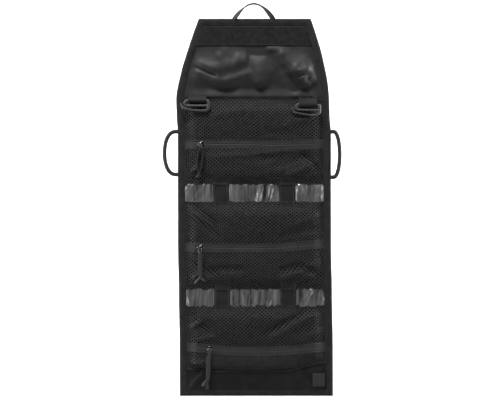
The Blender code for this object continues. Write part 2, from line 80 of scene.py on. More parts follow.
bag = {
    "halfWidth": 0.125,
    "topHalfWidth": 0.0915,
    "taperPower": 1.45,
    "bindingWidth": 0.0112,
    # how far the cloth hangs off its centre line, at depths below the top edge
    "drift": ((0.0, 0.0), (0.045, -0.0006), (0.086, -0.0020), (0.130, -0.0034), (0.158, -0.0026),
              (0.188, -0.0005), (0.265, -0.0005), (0.372, -0.0003), (0.450, 0.0012), (0.540, 0.0026), (0.620, 0.0028)),
}


def smooth(value):
    value = min(max(value, 0.0), 1.0)
    return value * value * (3 - 2 * value)


def halfAt(depth):
    rise = max(0.0, 1 - depth / netTop)
    narrowing = bag["halfWidth"] - bag["topHalfWidth"]
    return bag["halfWidth"] - narrowing * rise ** bag["taperPower"]


def driftAt(depth):
    for (d0, x0), (d1, x1) in zip(bag["drift"], bag["drift"][1:]):
        if depth <= d1:
            return x0 + (x1 - x0) * smooth((depth - d0) / (d1 - d0))
    return bag["drift"][-1][1]


def place(x, depth, y):
    return Vector((x + driftAt(depth), y, topZ - depth))


def ripple(x, depth, size, seed):  # smooth noise, about -1 to 1, over folds of that size
    return noise.noise(Vector((x / size, depth / size, seed)))


def acrossFold(x, depth, fold):  # a fold's strength here, how far off its line this is, and its direction
    x0, d0, x1, d1, width, _ = fold
    run, fall = x1 - x0, d1 - d0
    length = math.hypot(run, fall)
    share = ((x - x0) * run + (depth - d0) * fall) / length**2
    off = ((x - x0) * fall - (depth - d0) * run) / length
    if not (-0.25 < share < 1.25 and abs(off) < 3 * width):
        return 0.0, off, 0.0, 0.0
    fade = smooth((share + 0.25) / 0.4) * smooth((1.25 - share) / 0.4)
    return fade * math.exp(-((off / width) ** 2)), off, run / length, fall / length


def foldHeight(x, depth, folds):  # a fold runs from one point to another, with a width and a height
    return sum(fold[-1] * acrossFold(x, depth, fold)[0] for fold in folds)


# finishes
def wave(nodes, links, coords, direction, pitch):
    band = nodes.new("ShaderNodeTexWave")
    band.wave_type, band.wave_profile, band.bands_direction = "BANDS", "SIN", direction
    band.inputs["Scale"].default_value = math.pi / 10 / pitch
    links.new(coords, band.inputs["Vector"])
    return band.outputs["Fac"]


def combine(nodes, links, operation, first, second):  # second may be a number
    worked = nodes.new("ShaderNodeMath")
    worked.operation = operation
    links.new(first, worked.inputs[0])
    if isinstance(second, (int, float)):
        worked.inputs[1].default_value = second
    else:
        links.new(second, worked.inputs[1])
    return worked.outputs[0]


def speckle(nodes, links, coords, scale, detail):
    cloud = nodes.new("ShaderNodeTexNoise")
    cloud.inputs["Scale"].default_value, cloud.inputs["Detail"].default_value = scale, detail
    links.new(coords, cloud.inputs["Vector"])
    return cloud.outputs["Fac"]


def mapped(nodes, links, coords, turn, size=(1, 1, 1)):
    mapping = nodes.new("ShaderNodeMapping")
    mapping.inputs["Rotation"].default_value, mapping.inputs["Scale"].default_value = turn, size
    links.new(coords, mapping.inputs["Vector"])
    return mapping.outputs["Vector"]


def finish(name, look):
    material = bpy.data.materials.new(name)
    material.use_nodes = True
    nodes, links = material.node_tree.nodes, material.node_tree.links
    shader = nodes["Principled BSDF"]
    for socket, value in look.get("sockets", {}).items():
        shader.inputs[socket].default_value = value
    texture = nodes.new("ShaderNodeTexCoord")
    place3d, weave = texture.outputs["Object"], texture.outputs["UV" if look.get("uv") else "Object"]
    if look.get("paintedSheenStreaks"):  # painted sheen: the colour marks run along the cloth as streaks instead of lying in blots
        dyeAndSheenCoords = mapped(nodes, links, place3d, *look["paintedSheenStreaks"])
    else:
        dyeAndSheenCoords = place3d
    cloud = speckle(nodes, links, dyeAndSheenCoords, look.get("cloudScale", 45), 4)  # uneven dye and handling marks, and in the gap lining painted sheen streaks
    bands = [(weave, *band) for band in look.get("waves", ())]
    for turn, pitch, weight in look.get("diagonals", ()):  # two crossing slants, as in a braid or a twill
        slant = mapped(nodes, links, weave, (0, 0, turn) if look.get("uv") else (0, turn, 0))
        bands.append((slant, "X", pitch, weight))
    layers = [(wave(nodes, links, coords, direction, pitch), weight) for coords, direction, pitch, weight in bands]
    woven = len(layers)
    layers += [(speckle(nodes, links, place3d, scale, 3), weight) for scale, weight in look.get("grains", ())]
    heights, tinting = None, cloud
    for i, (layer, weight) in enumerate(layers):
        layer = combine(nodes, links, "MULTIPLY", layer, weight)
        heights = combine(nodes, links, "ADD", heights, layer) if heights else layer
        if i == woven - 1 and look.get("weaveTint"):
            tinting = combine(nodes, links, "ADD", cloud, combine(nodes, links, "MULTIPLY", heights, look["weaveTint"]))
    stretch = nodes.new("ShaderNodeMapRange")
    stretch.inputs["From Min"].default_value, stretch.inputs["From Max"].default_value = 0.3, 0.7
    tint = nodes.new("ShaderNodeMix")
    tint.data_type = "RGBA"
    for socket, grey in zip("AB", look["greys"]):
        tint.inputs[socket].default_value = (grey, grey, grey * coolness, 1)
    links.new(tinting, stretch.inputs["Value"])
    links.new(stretch.outputs["Result"], tint.inputs["Factor"])
    links.new(tint.outputs["Result"], shader.inputs["Base Color"])
    gloss = nodes.new("ShaderNodeMapRange")
    gloss.inputs["To Min"].default_value, gloss.inputs["To Max"].default_value = look["roughness"]
    links.new(cloud, gloss.inputs["Value"])
    links.new(gloss.outputs["Result"], shader.inputs["Roughness"])
    if heights:
        bump = nodes.new("ShaderNodeBump")
        bump.inputs["Distance"].default_value = look["relief"]
        links.new(heights, bump.inputs["Height"])
        links.new(bump.outputs["Normal"], shader.inputs["Normal"])
    return material


coolness = 1.04  # black cloth is a little blue
looks = {
    "flapNylon": {
        "greys": (0.024, 0.034),
        "roughness": (0.44, 0.54),
        "waves": (("X", 0.0007, 0.5), ("Z", 0.0007, 0.5)),
        "grains": ((900, 0.4),),
        "relief": 0.00006,
        "sockets": {"Specular IOR Level": 0.2},
    },
    # the lining behind the nets, its colour darkened as painted shade for the shadow of the nets and pockets
    "liningPaintedShade": {
        "greys": (0.0022, 0.0045),
        "roughness": (0.4, 0.5),
        "waves": (("X", 0.0006, 0.3), ("Z", 0.0006, 0.3)),
        "grains": ((160, 1.6), (420, 0.7)),
        "relief": 0.0001,
        "cloudScale": 70,
        "sockets": {"Specular IOR Level": 0.06},
    },
    # the same lining in the open gaps, lighter than behind the nets and streaked from near black to pale grey: painted
    # sheen for its glossy crinkles
    "liningPaintedSheen": {
        "paintedSheenStreaks": ((0, 0.12, 0), (1, 1, 0.10)),
        "cloudScale": 190,
        "greys": (0.012, 0.19),
        "roughness": (0.22, 0.36),
        "grains": ((160, 0.5), (420, 0.4)),
        "relief": 0.0001,
        "sockets": {"Specular IOR Level": 1.0, "Coat Weight": 0.8, "Coat Roughness": 0.22},
    },
    "bandNylon": {
        "greys": (0.009, 0.015),
        "roughness": (0.42, 0.52),
        "waves": (("X", 0.0007, 0.5), ("Z", 0.0007, 0.5)),
        "grains": ((900, 0.4),),
        "relief": 0.00006,
        "sockets": {"Specular IOR Level": 0.22},
    },
    # the first puller's ribbon: the same ribbon as the others, darkened as painted shade for its loop seen edge-on in
    # shadow
    "ribbonPaintedShade": {
        "greys": (0.004, 0.008),
        "roughness": (0.5, 0.6),
        "uv": True,
        "waves": (("X", 0.0009, 1.0),),
        "relief": 0.00016,
        "sockets": {"Specular IOR Level": 0.25},
    },
    "netThread": {
        "greys": (0.015, 0.03),
        "roughness": (0.45, 0.6),
        "diagonals": ((math.pi / 4, 0.0005, 0.6), (-math.pi / 4, 0.0005, 0.6)),
        "grains": ((1400, 0.5),),
        "relief": 0.00012,
        "cloudScale": 120,
        "sockets": {"Specular IOR Level": 0.25},
    },
    "grosgrain": {
        "greys": (0.016, 0.026),
        "roughness": (0.6, 0.75),
        "uv": True,
        "waves": (("X", 0.0011, 1.0),),
        "grains": ((1100, 0.5),),
        "relief": 0.00022,
        "weaveTint": 0.12,
        "cloudScale": 80,
        "sockets": {"Specular IOR Level": 0.12},
    },
    "webbing": {
        "greys": (0.012, 0.02),
        "roughness": (0.55, 0.7),
        "uv": True,
        "waves": (("X", 0.0013, 0.9), ("Y", 0.0021, 0.5)),
        "grains": ((1000, 0.4),),
        "relief": 0.00022,
        "weaveTint": 0.12,
        "sockets": {"Specular IOR Level": 0.15},
    },
    "closurePile": {
        "greys": (0.017, 0.028),
        "roughness": (0.85, 0.95),
        "grains": ((650, 1.6), (1600, 1.2)),
        "waves": (("X", 0.0022, 0.25),),
        "relief": 0.0005,
        "cloudScale": 130,
        "sockets": {"Specular IOR Level": 0.05, "Sheen Weight": 0.04},
    },
    "zipCloth": {
        "greys": (0.026, 0.037),
        "roughness": (0.48, 0.6),
        "uv": True,
        "diagonals": ((0.9, 0.0011, 0.6), (-0.9, 0.0011, 0.6)),
        "grains": ((1200, 0.4),),
        "relief": 0.0001,
        "weaveTint": 0.1,
        "sockets": {"Specular IOR Level": 0.25},
    },
    "zipTeeth": {
        "greys": (0.004, 0.007),
        "roughness": (0.35, 0.45),
        "sockets": {"Specular IOR Level": 0.5},
    },
    "braidedCord": {
        "greys": (0.01, 0.028),
        "roughness": (0.6, 0.72),
        "uv": True,
        "diagonals": ((0.75, 0.0016, 0.8), (-0.75, 0.0016, 0.8)),
        "grains": ((1300, 0.4),),
        "relief": 0.00045,
        "weaveTint": 0.35,
        "sockets": {"Specular IOR Level": 0.25},
    },
    "hookGrey": {
        "greys": (0.05, 0.068),
        "roughness": (0.4, 0.5),
        "grains": ((700, 0.6), (2500, 0.5)),
        "relief": 0.00005,
        "cloudScale": 160,
        "sockets": {"Metallic": 0.2, "Specular IOR Level": 0.4},
    },
    "sliderMetal": {
        "greys": (0.1, 0.2),
        "roughness": (0.14, 0.24),
        "grains": ((900, 0.6),),
        "relief": 0.00002,
        "cloudScale": 300,
        "sockets": {"Metallic": 1.0},
    },
    "ribbonCloth": {
        "greys": (0.028, 0.042),
        "roughness": (0.55, 0.68),
        "uv": True,
        "waves": (("X", 0.0009, 1.0),),
        "grains": ((1100, 0.4),),
        "relief": 0.00016,
        "weaveTint": 0.12,
        "sockets": {"Specular IOR Level": 0.2},
    },
    "wovenLabel": {
        "greys": (0.03, 0.043),
        "roughness": (0.5, 0.6),
        "waves": (("X", 0.0005, 0.5), ("Z", 0.0008, 0.6)),
        "relief": 0.00008,
        "sockets": {"Specular IOR Level": 0.2},
    },
    "sewingThread": {
        "greys": (0.02, 0.04),
        "roughness": (0.4, 0.5),
        "grains": ((2500, 1.0),),
        "relief": 0.00005,
        "sockets": {"Specular IOR Level": 0.3},
    },
}
finishes = {name: finish(name, look) for name, look in looks.items()}
print("finishes made", len(finishes))


# making pieces
def makePiece(name, bm, materials):
    for face in bm.faces:
        face.smooth = True
    for edge in bm.edges:
        if edge.is_boundary:
            edge.smooth = False
    mesh = bpy.data.meshes.new(name)
    bm.to_mesh(mesh)
    bm.free()
    for material in materials:
        mesh.materials.append(finishes[material])
    piece = bpy.data.objects.new(name, mesh)
    bpy.context.scene.collection.objects.link(piece)
    return piece


def shapedGrid(across, down, shape):  # shape(u, v) gives a place and the cloth's own u and v in metres
    bm = bmesh.new()
    bmesh.ops.create_grid(bm, x_segments=across, y_segments=down, size=0.5)
    layer = bm.loops.layers.uv.new("cloth")
    own = {}
    for vert in bm.verts:
        spot, own[vert] = shape(vert.co.x + 0.5, 0.5 - vert.co.y)
        vert.co = spot
    for face in bm.faces:
        for loop in face.loops:
            loop[layer].uv = own[loop.vert]
    return bm


def addThickness(piece, thickness, offset=-1):
    wall = piece.modifiers.new("cloth", "SOLIDIFY")
    wall.thickness, wall.offset, wall.use_even_offset = thickness, offset, False


def measuredAlong(points):  # the distance from the first point to each
    measured = [0.0]
    for a, b in zip(points, points[1:]):
        measured.append(measured[-1] + (b - a).length)
    return measured


def makeCurve(name, spots, radius, resolution, closed=False, sizes=None):
    curve = bpy.data.curves.new(name, "CURVE")
    curve.dimensions, curve.bevel_depth, curve.bevel_resolution = "3D", radius, resolution
    curve.use_fill_caps = not closed
    spline = curve.splines.new("POLY")
    spline.points.add(len(spots) - 1)
    spline.use_cyclic_u = closed
    for point, spot, size in zip(spline.points, spots, sizes or [1.0] * len(spots)):
        point.co, point.radius = (*spot, 1), size
    made = bpy.data.objects.new(name, curve)
    bpy.context.scene.collection.objects.link(made)
    return made


def meshOf(made):  # turns a curve object into a mesh and removes the curve
    mesh = bpy.data.meshes.new_from_object(made.evaluated_get(bpy.context.evaluated_depsgraph_get()))
    bpy.data.objects.remove(made)
    return mesh


stitch = {"length": 0.0025, "pitch": 0.0033, "width": 0.00055, "height": 0.0005}


def addStitch(bm, spot, along, outward, slotIndex):
    turn = Matrix((along, along.cross(outward).normalized(), outward)).transposed().to_4x4()
    size = Matrix.Diagonal((stitch["length"], stitch["width"], stitch["height"], 1))
    place4 = Matrix.Translation(spot) @ turn @ size
    made = bmesh.ops.create_icosphere(bm, subdivisions=1, radius=0.5, matrix=place4)
    for face in {f for v in made["verts"] for f in v.link_faces}:
        face.material_index = slotIndex


def addStitchRow(bm, points, outward, slotIndex):  # even stitches along a line of points
    lengths = [(b - a).length for a, b in zip(points, points[1:])]
    total = sum(lengths)
    count = max(1, int(total / stitch["pitch"]))
    for i in range(count):
        left = (i + 0.5) * total / count
        for a, b, length in zip(points, points[1:], lengths):
            if left <= length:
                along = (b - a).normalized()
                across = along.cross(outward).normalized()
                addStitch(bm, a.lerp(b, left / length), along, across.cross(along), slotIndex)
                break
            left -= length


front, back = Vector((0, -1, 0)), Vector((0, 1, 0))

# the long cloths and side bindings are cut where one joint's pieces end and the next one's start
lengths = [
    ("flapTop", 0.0, 0.081, "flap_tip", "flap_spine", tipFold),
    ("flapBase", 0.081, zipDepth[1], "flap_spine", "panel_1", flapFold),
    ("upperEnd", zipDepth[1], sum(gapOne) / 2, "panel_1", "strip_1", gapOne[0]),
    ("middleTop", sum(gapOne) / 2, zipDepth[2], "strip_1", "panel_2", gapOne[1]),
    ("middleEnd", zipDepth[2], sum(gapTwo) / 2, "panel_2", "strip_2", gapTwo[0]),
    ("lower", sum(gapTwo) / 2, bottomDepth, "strip_2", "panel_3", gapTwo[1]),
]
clothNodes = {
    "flapTop": (["flap_tip_shell", "flap_spine_lining"], ["flap_tip_shell", "flap_spine_shell"]),
    "flapBase": (["flap_spine_lining", "panel_1_lining"], ["flap_spine_shell", "panel_1_shell"]),
    "upperEnd": (["panel_1_lining", "strip_1_cloth"], ["panel_1_shell", "strip_1_cloth"]),
    "middleTop": (["strip_1_cloth", "panel_2_lining"], ["strip_1_cloth", "panel_2_shell"]),
    "middleEnd": (["panel_2_lining", "strip_2_cloth"], ["panel_2_shell", "strip_2_cloth"]),
    "lower": (["strip_2_cloth", "panel_3_lining"], ["strip_2_cloth", "panel_3_shell"]),
}


def bendAt(piece, upper, lower, depth, reach=0.0022):
    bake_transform(piece)


cloth = {
    "step": 0.0021,
    "thickness": 0.00045,
    "frontY": -0.00075,
    "backY": 0.00085,
    "flapRolls": ((-0.046, 0.026), (0.010, 0.013), (0.086, 0.022)),
    "flapFolds": (
        (-0.008, 0.055, 0.028, 0.059, 0.0055, -0.0036),
        (0.028, 0.059, 0.046, 0.083, 0.0070, -0.0054),
        (0.046, 0.083, 0.070, 0.113, 0.0085, -0.0068),
        (0.020, 0.049, 0.046, 0.056, 0.0090, 0.0030),
        (0.046, 0.056, 0.066, 0.080, 0.0110, 0.0040),
        (0.066, 0.080, 0.084, 0.096, 0.0090, 0.0034),
        (-0.094, 0.079, -0.062, 0.093, 0.0042, -0.0046),
        (-0.098, 0.070, -0.064, 0.083, 0.0080, 0.0026),
        (-0.050, 0.092, -0.008, 0.080, 0.0080, -0.0036),
        (-0.030, 0.066, -0.012, 0.068, 0.0120, 0.0030),
        (0.058, 0.096, 0.094, 0.089, 0.0034, -0.0042),
        (0.060, 0.089, 0.094, 0.082, 0.0050, 0.0022),
        (0.098, 0.080, 0.110, 0.092, 0.0034, -0.0036),
        (0.088, 0.098, 0.100, 0.108, 0.0050, -0.0040),
        (-0.060, 0.062, -0.044, 0.050, 0.0080, 0.0014),
        (-0.014, 0.080, -0.010, 0.104, 0.0080, 0.0026),
    ),
    "gapFolds": (
        (-0.112, 0.298, -0.098, 0.272, 0.0022, 0.0015),
        (-0.101, 0.298, -0.084, 0.272, 0.0016, 0.0018),
        (-0.096, 0.298, -0.078, 0.272, 0.0012, -0.0012),
        (-0.080, 0.298, -0.069, 0.280, 0.0030, 0.0014),
        (-0.039, 0.272, -0.038, 0.298, 0.0016, 0.0014),
        (-0.024, 0.298, -0.016, 0.272, 0.0035, 0.0013),
        (0.006, 0.298, 0.014, 0.272, 0.0026, 0.0016),
        (0.020, 0.298, 0.032, 0.272, 0.0030, 0.0015),
        (0.072, 0.272, 0.080, 0.290, 0.0040, 0.0018),
        (0.086, 0.298, 0.084, 0.272, 0.0015, 0.0014),
        (0.094, 0.280, 0.108, 0.276, 0.0040, 0.0015),
        (0.100, 0.292, 0.112, 0.288, 0.0030, 0.0013),
        (0.074, 0.470, 0.092, 0.444, 0.0022, 0.0018),
        (0.084, 0.468, 0.090, 0.446, 0.0030, 0.0012),
        (0.100, 0.446, 0.112, 0.462, 0.0022, 0.0015),
        (0.020, 0.468, 0.034, 0.446, 0.0020, 0.0012),
        (-0.020, 0.444, -0.014, 0.468, 0.0030, 0.0014),
        (-0.110, 0.470, -0.092, 0.446, 0.0030, 0.0016),
        (-0.082, 0.470, -0.076, 0.444, 0.0026, 0.0014),
    ),
}


def underStraps(x):  # 1 clear of the straps, 0 beneath them
    return 1 - smooth((0.0150 - abs(abs(x) - 0.054)) / 0.0030)


def gapShare(depth):  # 1 in the two plain gaps, 0 behind the nets
    share = 0.0
    for top, low in (gapOne, gapTwo):
        share = max(share, smooth((depth - top + 0.006) / 0.006) * smooth((low + 0.006 - depth) / 0.006))
    return share


def frontRelief(x, depth):  # how far the front cloth stands forward of its flat place
    edge = smooth((halfAt(depth) - abs(x) - 0.009) / (0.008 if depth > netTop else 0.022))
    height = 0.00025 + 0.00020 * ripple(x, depth, 0.030, 3.1)
    flapShare = smooth((netTop + 0.004 - depth) / 0.008) * smooth((depth - 0.040) / 0.010)
    if flapShare > 0:
        overhang = max(math.exp(-(((x - at) / wide) ** 2)) for at, wide in cloth["flapRolls"])
        puff = smooth((depth - 0.046) / 0.045) * smooth((0.1140 - depth) / (0.030 - 0.019 * overhang))
        band = smooth((depth - 0.1115) / 0.0200) * smooth((netTop - 0.0004 - depth) / 0.0025)
        soft = 0.0011 * ripple(x, depth * 0.8, 0.030, 7.7) + 0.0004 * ripple(x, depth, 0.012, 9.2)
        height += flapShare * ((0.0064 + 0.0046 * overhang) * puff + 0.0034 * band + soft * (1 - 0.6 * band))
        height += flapShare * foldHeight(x, depth, cloth["flapFolds"])
    gap = gapShare(depth)
    if gap > 0:
        if depth < (gapOne[1] + gapTwo[0]) / 2:  # the upper gap slants at its left, the lower at its right
            lean = 0.12 + 0.48 * smooth((-x - 0.060) / 0.02)
        else:
            lean = 0.06 + 0.40 * smooth((x - 0.07) / 0.02)
        slant = x + lean * (depth - 0.285)
        crinkle = 0.0017 * noise.noise(Vector((slant / 0.0058, depth / 0.060, 1.7)))
        crinkle += 0.0010 * noise.noise(Vector((slant / 0.0028, depth / 0.030, 5.3)))
        crinkle += 0.0005 * abs(noise.noise(Vector((slant / 0.010, depth / 0.022, 8.4))))
        height += gap * underStraps(x) * (0.0013 + crinkle + foldHeight(x, depth, cloth["gapFolds"]))
    return max(height * edge, -0.0001)


def backRelief(x, depth):
    edge = smooth((halfAt(depth) - abs(x) - 0.009) / 0.010)
    soft = 0.0006 * ripple(x, depth, 0.042, 12.5) + 0.0003 * ripple(x, depth, 0.015, 14.1)
    for seam in (*gapOne, *gapTwo, flapFold):
        gather = math.exp(-(((depth - seam) / 0.007) ** 2))
        soft += gather * 0.0005 * noise.noise(Vector((x / 0.006, depth / 0.03, 17.0 + seam)))
    patch = 1 - 0.9 * smooth((0.088 - abs(x)) / 0.006) * smooth((0.024 - abs(depth - 0.374)) / 0.005)
    return max((0.0003 + soft) * edge * patch, -0.0001)


def layClothLength(name, top, low, side):
    across = round(0.246 / cloth["step"])
    down = max(8, round((low - top) / cloth["step"]))
    top, low = max(top, 0.0010), min(low, bottomDepth - 0.0010)
    isFront = side == "front"
    sign, relief, base = (-1, frontRelief, cloth["frontY"]) if isFront else (1, backRelief, cloth["backY"])

    def shape(u, v):
        depth = top + (low - top) * v
        x = (2 * u - 1) * (halfAt(depth) - 0.0012)
        return place(x, depth, base + sign * relief(x, depth)), (x, depth)

    bm = shapedGrid(across, down, shape)
    if side == "back":
        bmesh.ops.reverse_faces(bm, faces=bm.faces)
    for face in bm.faces:
        depth = topZ - face.calc_center_median().z
        nylon = side == "back" or depth < netTop + 0.001
        # one lining cloth gets two copies: a dark painted-shade copy behind the nets and a lighter copy with painted
        # sheen in the open gaps
        face.material_index = 0 if nylon else 2 if gapShare(depth) > 0.5 else 1
    piece = makePiece(f"{name}_{side}Cloth", bm, ["flapNylon", "liningPaintedShade", "liningPaintedSheen"])
    addThickness(piece, cloth["thickness"])
    return piece


for name, top, low, upper, lower, fold in lengths:
    for side, nodes in zip(("front", "back"), clothNodes[name]):
        piece = layClothLength(name, top, low, side)
        bendAt(piece, upper, lower, fold)
        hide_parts(*nodes)
print("cloth laid")

# folded edge tape
edging = {
    "width": 0.0112,
    "frontY": -0.00178,
    "backY": 0.00188,
    "thickness": 0.0004,
    "step": 0.0034,
    "stitchInset": 0.0024,
}
edgingSection = [  # from the inner edge on the front, round the outside, to the inner edge at the back
    (1.00, 0.66), (0.965, 0.86), (0.88, 0.94), (0.80, 0.88), (0.76, 0.98), (0.60, 1.12), (0.42, 1.16),
    (0.25, 1.08), (0.12, 0.90), (0.035, 0.58), (0.0, 0.2), (0.0, -0.2), (0.035, -0.58), (0.12, -0.90),
    (0.25, -1.08), (0.42, -1.16), (0.60, -1.12), (0.76, -0.98), (0.80, -0.88), (0.88, -0.94),
    (0.965, -0.86), (1.00, -0.66),
]


def edgeStations(corners):  # evenly spaced points along straight and curved runs, the corners among them
    stations = []
    for (x0, d0), (x1, d1) in zip(corners, corners[1:]):
        steps = max(1, round(math.hypot(x1 - x0, d1 - d0) / edging["step"]))
        for i in range(steps):
            share = i / steps
            stations.append([x0 + (x1 - x0) * share, d0 + (d1 - d0) * share, i == 0 and bool(stations)])
    stations.append([*corners[-1], False])
    for station in stations:
        x, depth, _ = station
        if abs(x) > 0.9 * halfAt(depth):
            station[0] = math.copysign(halfAt(depth), x)
    return stations


def makeEdging(name, corners):
    stations = edgeStations(corners)
    points = [Vector((x + driftAt(d), topZ - d)) for x, d, _ in stations]
    runs = [(b - a).normalized() for a, b in zip(points, points[1:])]
    mitres = []
    for i in range(len(points)):
        before, after = runs[max(i - 1, 0)], runs[min(i, len(runs) - 1)]
        inward = [Vector((-run.y, run.x)) for run in (before, after)]
        mitre = (inward[0] + inward[1]) / (1 + inward[0].dot(inward[1]))
        if i in (0, len(points) - 1):
            mitre = Vector((1 / mitre.x, 0))
        mitres.append(mitre)
    measured = measuredAlong(points)
    last, rows = len(points) - 1, len(edgingSection) - 1
    turned = [station[2] and abs(mitre.x * mitre.y) > 0.3 for station, mitre in zip(stations, mitres)]

    def spotAt(i, w, y):
        point, mitre = points[i], mitres[i]
        uneven = 1 + 0.022 * noise.noise(Vector((point.x / 0.02, point.y / 0.02, 4.4)))
        puff = 1 + 0.10 * noise.noise(Vector((point.x / 0.007, point.y / 0.007, 6.6)))
        sunk = 0.45 if turned[i] else 1.0
        flat = point + mitre * w * (uneven if w > 0.005 else 1.0)
        return Vector((flat.x, y * (puff if abs(y) > 0.001 else 1.0) * sunk, flat.y))

    def shape(u, v):
        i, j = round(u * last), round(v * rows)
        w, y = edgingSection[j]
        half = (edging["backY"] - edging["frontY"]) / 2
        middle = (edging["backY"] + edging["frontY"]) / 2
        return spotAt(i, w * edging["width"], middle - y * half), (measured[i], v * 0.026)

    bm = shapedGrid(last, rows, shape)
    w = edging["width"] - edging["stitchInset"]
    for y, outward in ((edging["frontY"] * 0.98, front), (edging["backY"] * 0.98, back)):
        straight = []
        for i in range(len(points)):
            straight.append(spotAt(i, w, y))
            if turned[i]:
                addStitchRow(bm, straight, outward, 1)
                straight = straight[-1:]
        addStitchRow(bm, straight, outward, 1)
    piece = makePiece(name, bm, ["grosgrain", "sewingThread"])
    addThickness(piece, edging["thickness"], 1)
    return piece


edgingNodes = {
    "flapBase": ("flap_spine_binding_{}", "panel_1_binding_{}"),
    "upperEnd": ("panel_1_binding_{}", "strip_1_binding_{}"),
    "middleTop": ("strip_1_binding_{}", "panel_2_binding_{}"),
    "middleEnd": ("panel_2_binding_{}", "strip_2_binding_{}"),
}
for name, top, low, upper, lower, fold in lengths:
    if name == "flapTop":
        right = [(halfAt(d), d) for d in (low, 0.06, 0.04, 0.02, 0.0)]
        corners = right + [(-x, d) for x, d in reversed(right)]
        piece = makeEdging("flapTop_edging", corners)
        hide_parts("flap_tip_binding", "flap_spine_binding_left", "flap_spine_binding_right")
        bendAt(piece, upper, lower, fold)
    elif name == "lower":
        half = bag["halfWidth"]
        piece = makeEdging("lower_edging", [(-half, top), (-half, low), (half, low), (half, top)])
        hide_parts("panel_3_binding", "strip_2_binding_left", "strip_2_binding_right")
        bendAt(piece, upper, lower, fold)
    else:
        for side, ends in (("left", (top, low)), ("right", (low, top))):
            sign = -1 if side == "left" else 1
            piece = makeEdging(f"{name}_{side}Edging", [(sign * halfAt(d), d) for d in ends])
            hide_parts(*(node.format(side) for node in edgingNodes[name]))
            bendAt(piece, upper, lower, fold)
print("edges bound")

# nets, zips and hems
pocket = {
    "stand": 0.0050,
    "bulge": 0.0024,
    "sideSlope": 0.020,
    "rise": 0.35,
    "tuck": 0.0045,  # how far the net runs in under the edge tape
    "diamond": (0.0066, 0.0053),
    "thread": 0.00056,
    "threadThickness": 0.0005,
    "hem": 0.0030,
    "gather": 0.62,  # how strongly the net's threads crowd towards a fold
    "foldGain": 1.7,
    "zipGap": 0.0062,  # from a zip's middle to where its nets start
    "netShare": 0.62,  # the part of the net that is thread
}
netFolds = {
    "1upper": (
        (0.050, 0.176, 0.098, 0.160, 0.0060, 0.0012),
        (-0.060, 0.156, -0.010, 0.150, 0.0070, 0.0010),
        (0.020, 0.186, 0.070, 0.192, 0.0050, -0.0011),
    ),
    "1lower": (
        (-0.060, 0.226, 0.020, 0.219, 0.0055, 0.0012),
        (0.020, 0.219, 0.104, 0.211, 0.0060, 0.0020),
        (0.010, 0.229, 0.064, 0.223, 0.0060, -0.0014),
        (0.070, 0.216, 0.100, 0.242, 0.0050, -0.0018),
        (-0.110, 0.256, -0.084, 0.236, 0.0040, 0.0016),
        (-0.104, 0.264, -0.070, 0.258, 0.0045, -0.0016),
        (0.050, 0.258, 0.108, 0.232, 0.0050, 0.0014),
        (0.030, 0.240, 0.090, 0.222, 0.0060, -0.0010),
    ),
    "2upper": (
        (-0.096, 0.304, -0.060, 0.340, 0.0045, -0.0018),
        (-0.030, 0.308, 0.000, 0.344, 0.0060, 0.0015),
        (0.030, 0.314, 0.004, 0.346, 0.0060, 0.0014),
        (-0.112, 0.306, -0.084, 0.330, 0.0045, 0.0016),
        (-0.106, 0.322, -0.060, 0.352, 0.0055, -0.0014),
        (0.060, 0.340, 0.110, 0.318, 0.0060, 0.0013),
        (0.040, 0.356, 0.106, 0.344, 0.0050, -0.0011),
    ),
    "2lower": (
        (-0.066, 0.411, -0.020, 0.408, 0.0050, -0.0016),
        (0.040, 0.414, 0.074, 0.405, 0.0060, -0.0018),
        (0.074, 0.405, 0.106, 0.418, 0.0060, -0.0016),
        (-0.110, 0.392, -0.060, 0.420, 0.0055, -0.0013),
        (0.040, 0.428, 0.104, 0.398, 0.0060, 0.0013),
        (0.064, 0.438, 0.112, 0.420, 0.0045, -0.0013),
        (-0.108, 0.430, -0.086, 0.410, 0.0045, 0.0012),
    ),
    "3upper": (
        (0.030, 0.520, 0.100, 0.482, 0.0050, 0.0020),
        (0.020, 0.512, 0.090, 0.474, 0.0050, -0.0018),
        (0.060, 0.530, 0.108, 0.508, 0.0060, 0.0018),
        (0.078, 0.536, 0.112, 0.524, 0.0040, -0.0016),
        (-0.112, 0.508, -0.090, 0.494, 0.0035, 0.0020),
        (-0.108, 0.478, -0.080, 0.512, 0.0060, -0.0018),
        (-0.094, 0.524, -0.066, 0.520, 0.0040, 0.0016),
        (-0.020, 0.500, 0.004, 0.486, 0.0060, 0.0012),
    ),
    "3lower": (
        (-0.112, 0.566, -0.082, 0.560, 0.0040, 0.0014),
        (0.060, 0.566, 0.110, 0.556, 0.0050, -0.0012),
    ),
}


def gatherAt(x, depth, folds):  # how far the net is drawn in towards its folds
    moveX = moveD = 0.0
    for fold in folds:
        strength, off, run, fall = acrossFold(x, depth, fold)
        drawn = -pocket["gather"] * math.copysign(1, fold[-1]) * off * strength
        moveX += drawn * fall
        moveD -= drawn * run
    return moveX, moveD


def zipLine(number, x):  # the depth of a zip's middle along the bag
    share = x / bag["halfWidth"]
    if number == 1:
        return zipDepth[1] + 0.0006 * math.sin(x * 42)
    if number == 2:
        return zipDepth[2] + 0.0008 * math.cos(2.6 * share) - 0.0052 * smooth((x - 0.020) / 0.100)
    return zipDepth[3] - 0.0030 + 0.0075 * math.cos(share * math.pi / 2) ** 1.5


def sideRise(x):
    return smooth((bag["halfWidth"] - 0.0105 - abs(x)) / pocket["sideSlope"])


def lastEdge(x):  # the lowest net's bottom edge, drawn up at its sides
    return pocketEnds[3][1] - 0.0008 - 0.0150 * smooth((x - 0.040) / 0.078) - 0.0035 * smooth((-x - 0.060) / 0.05)


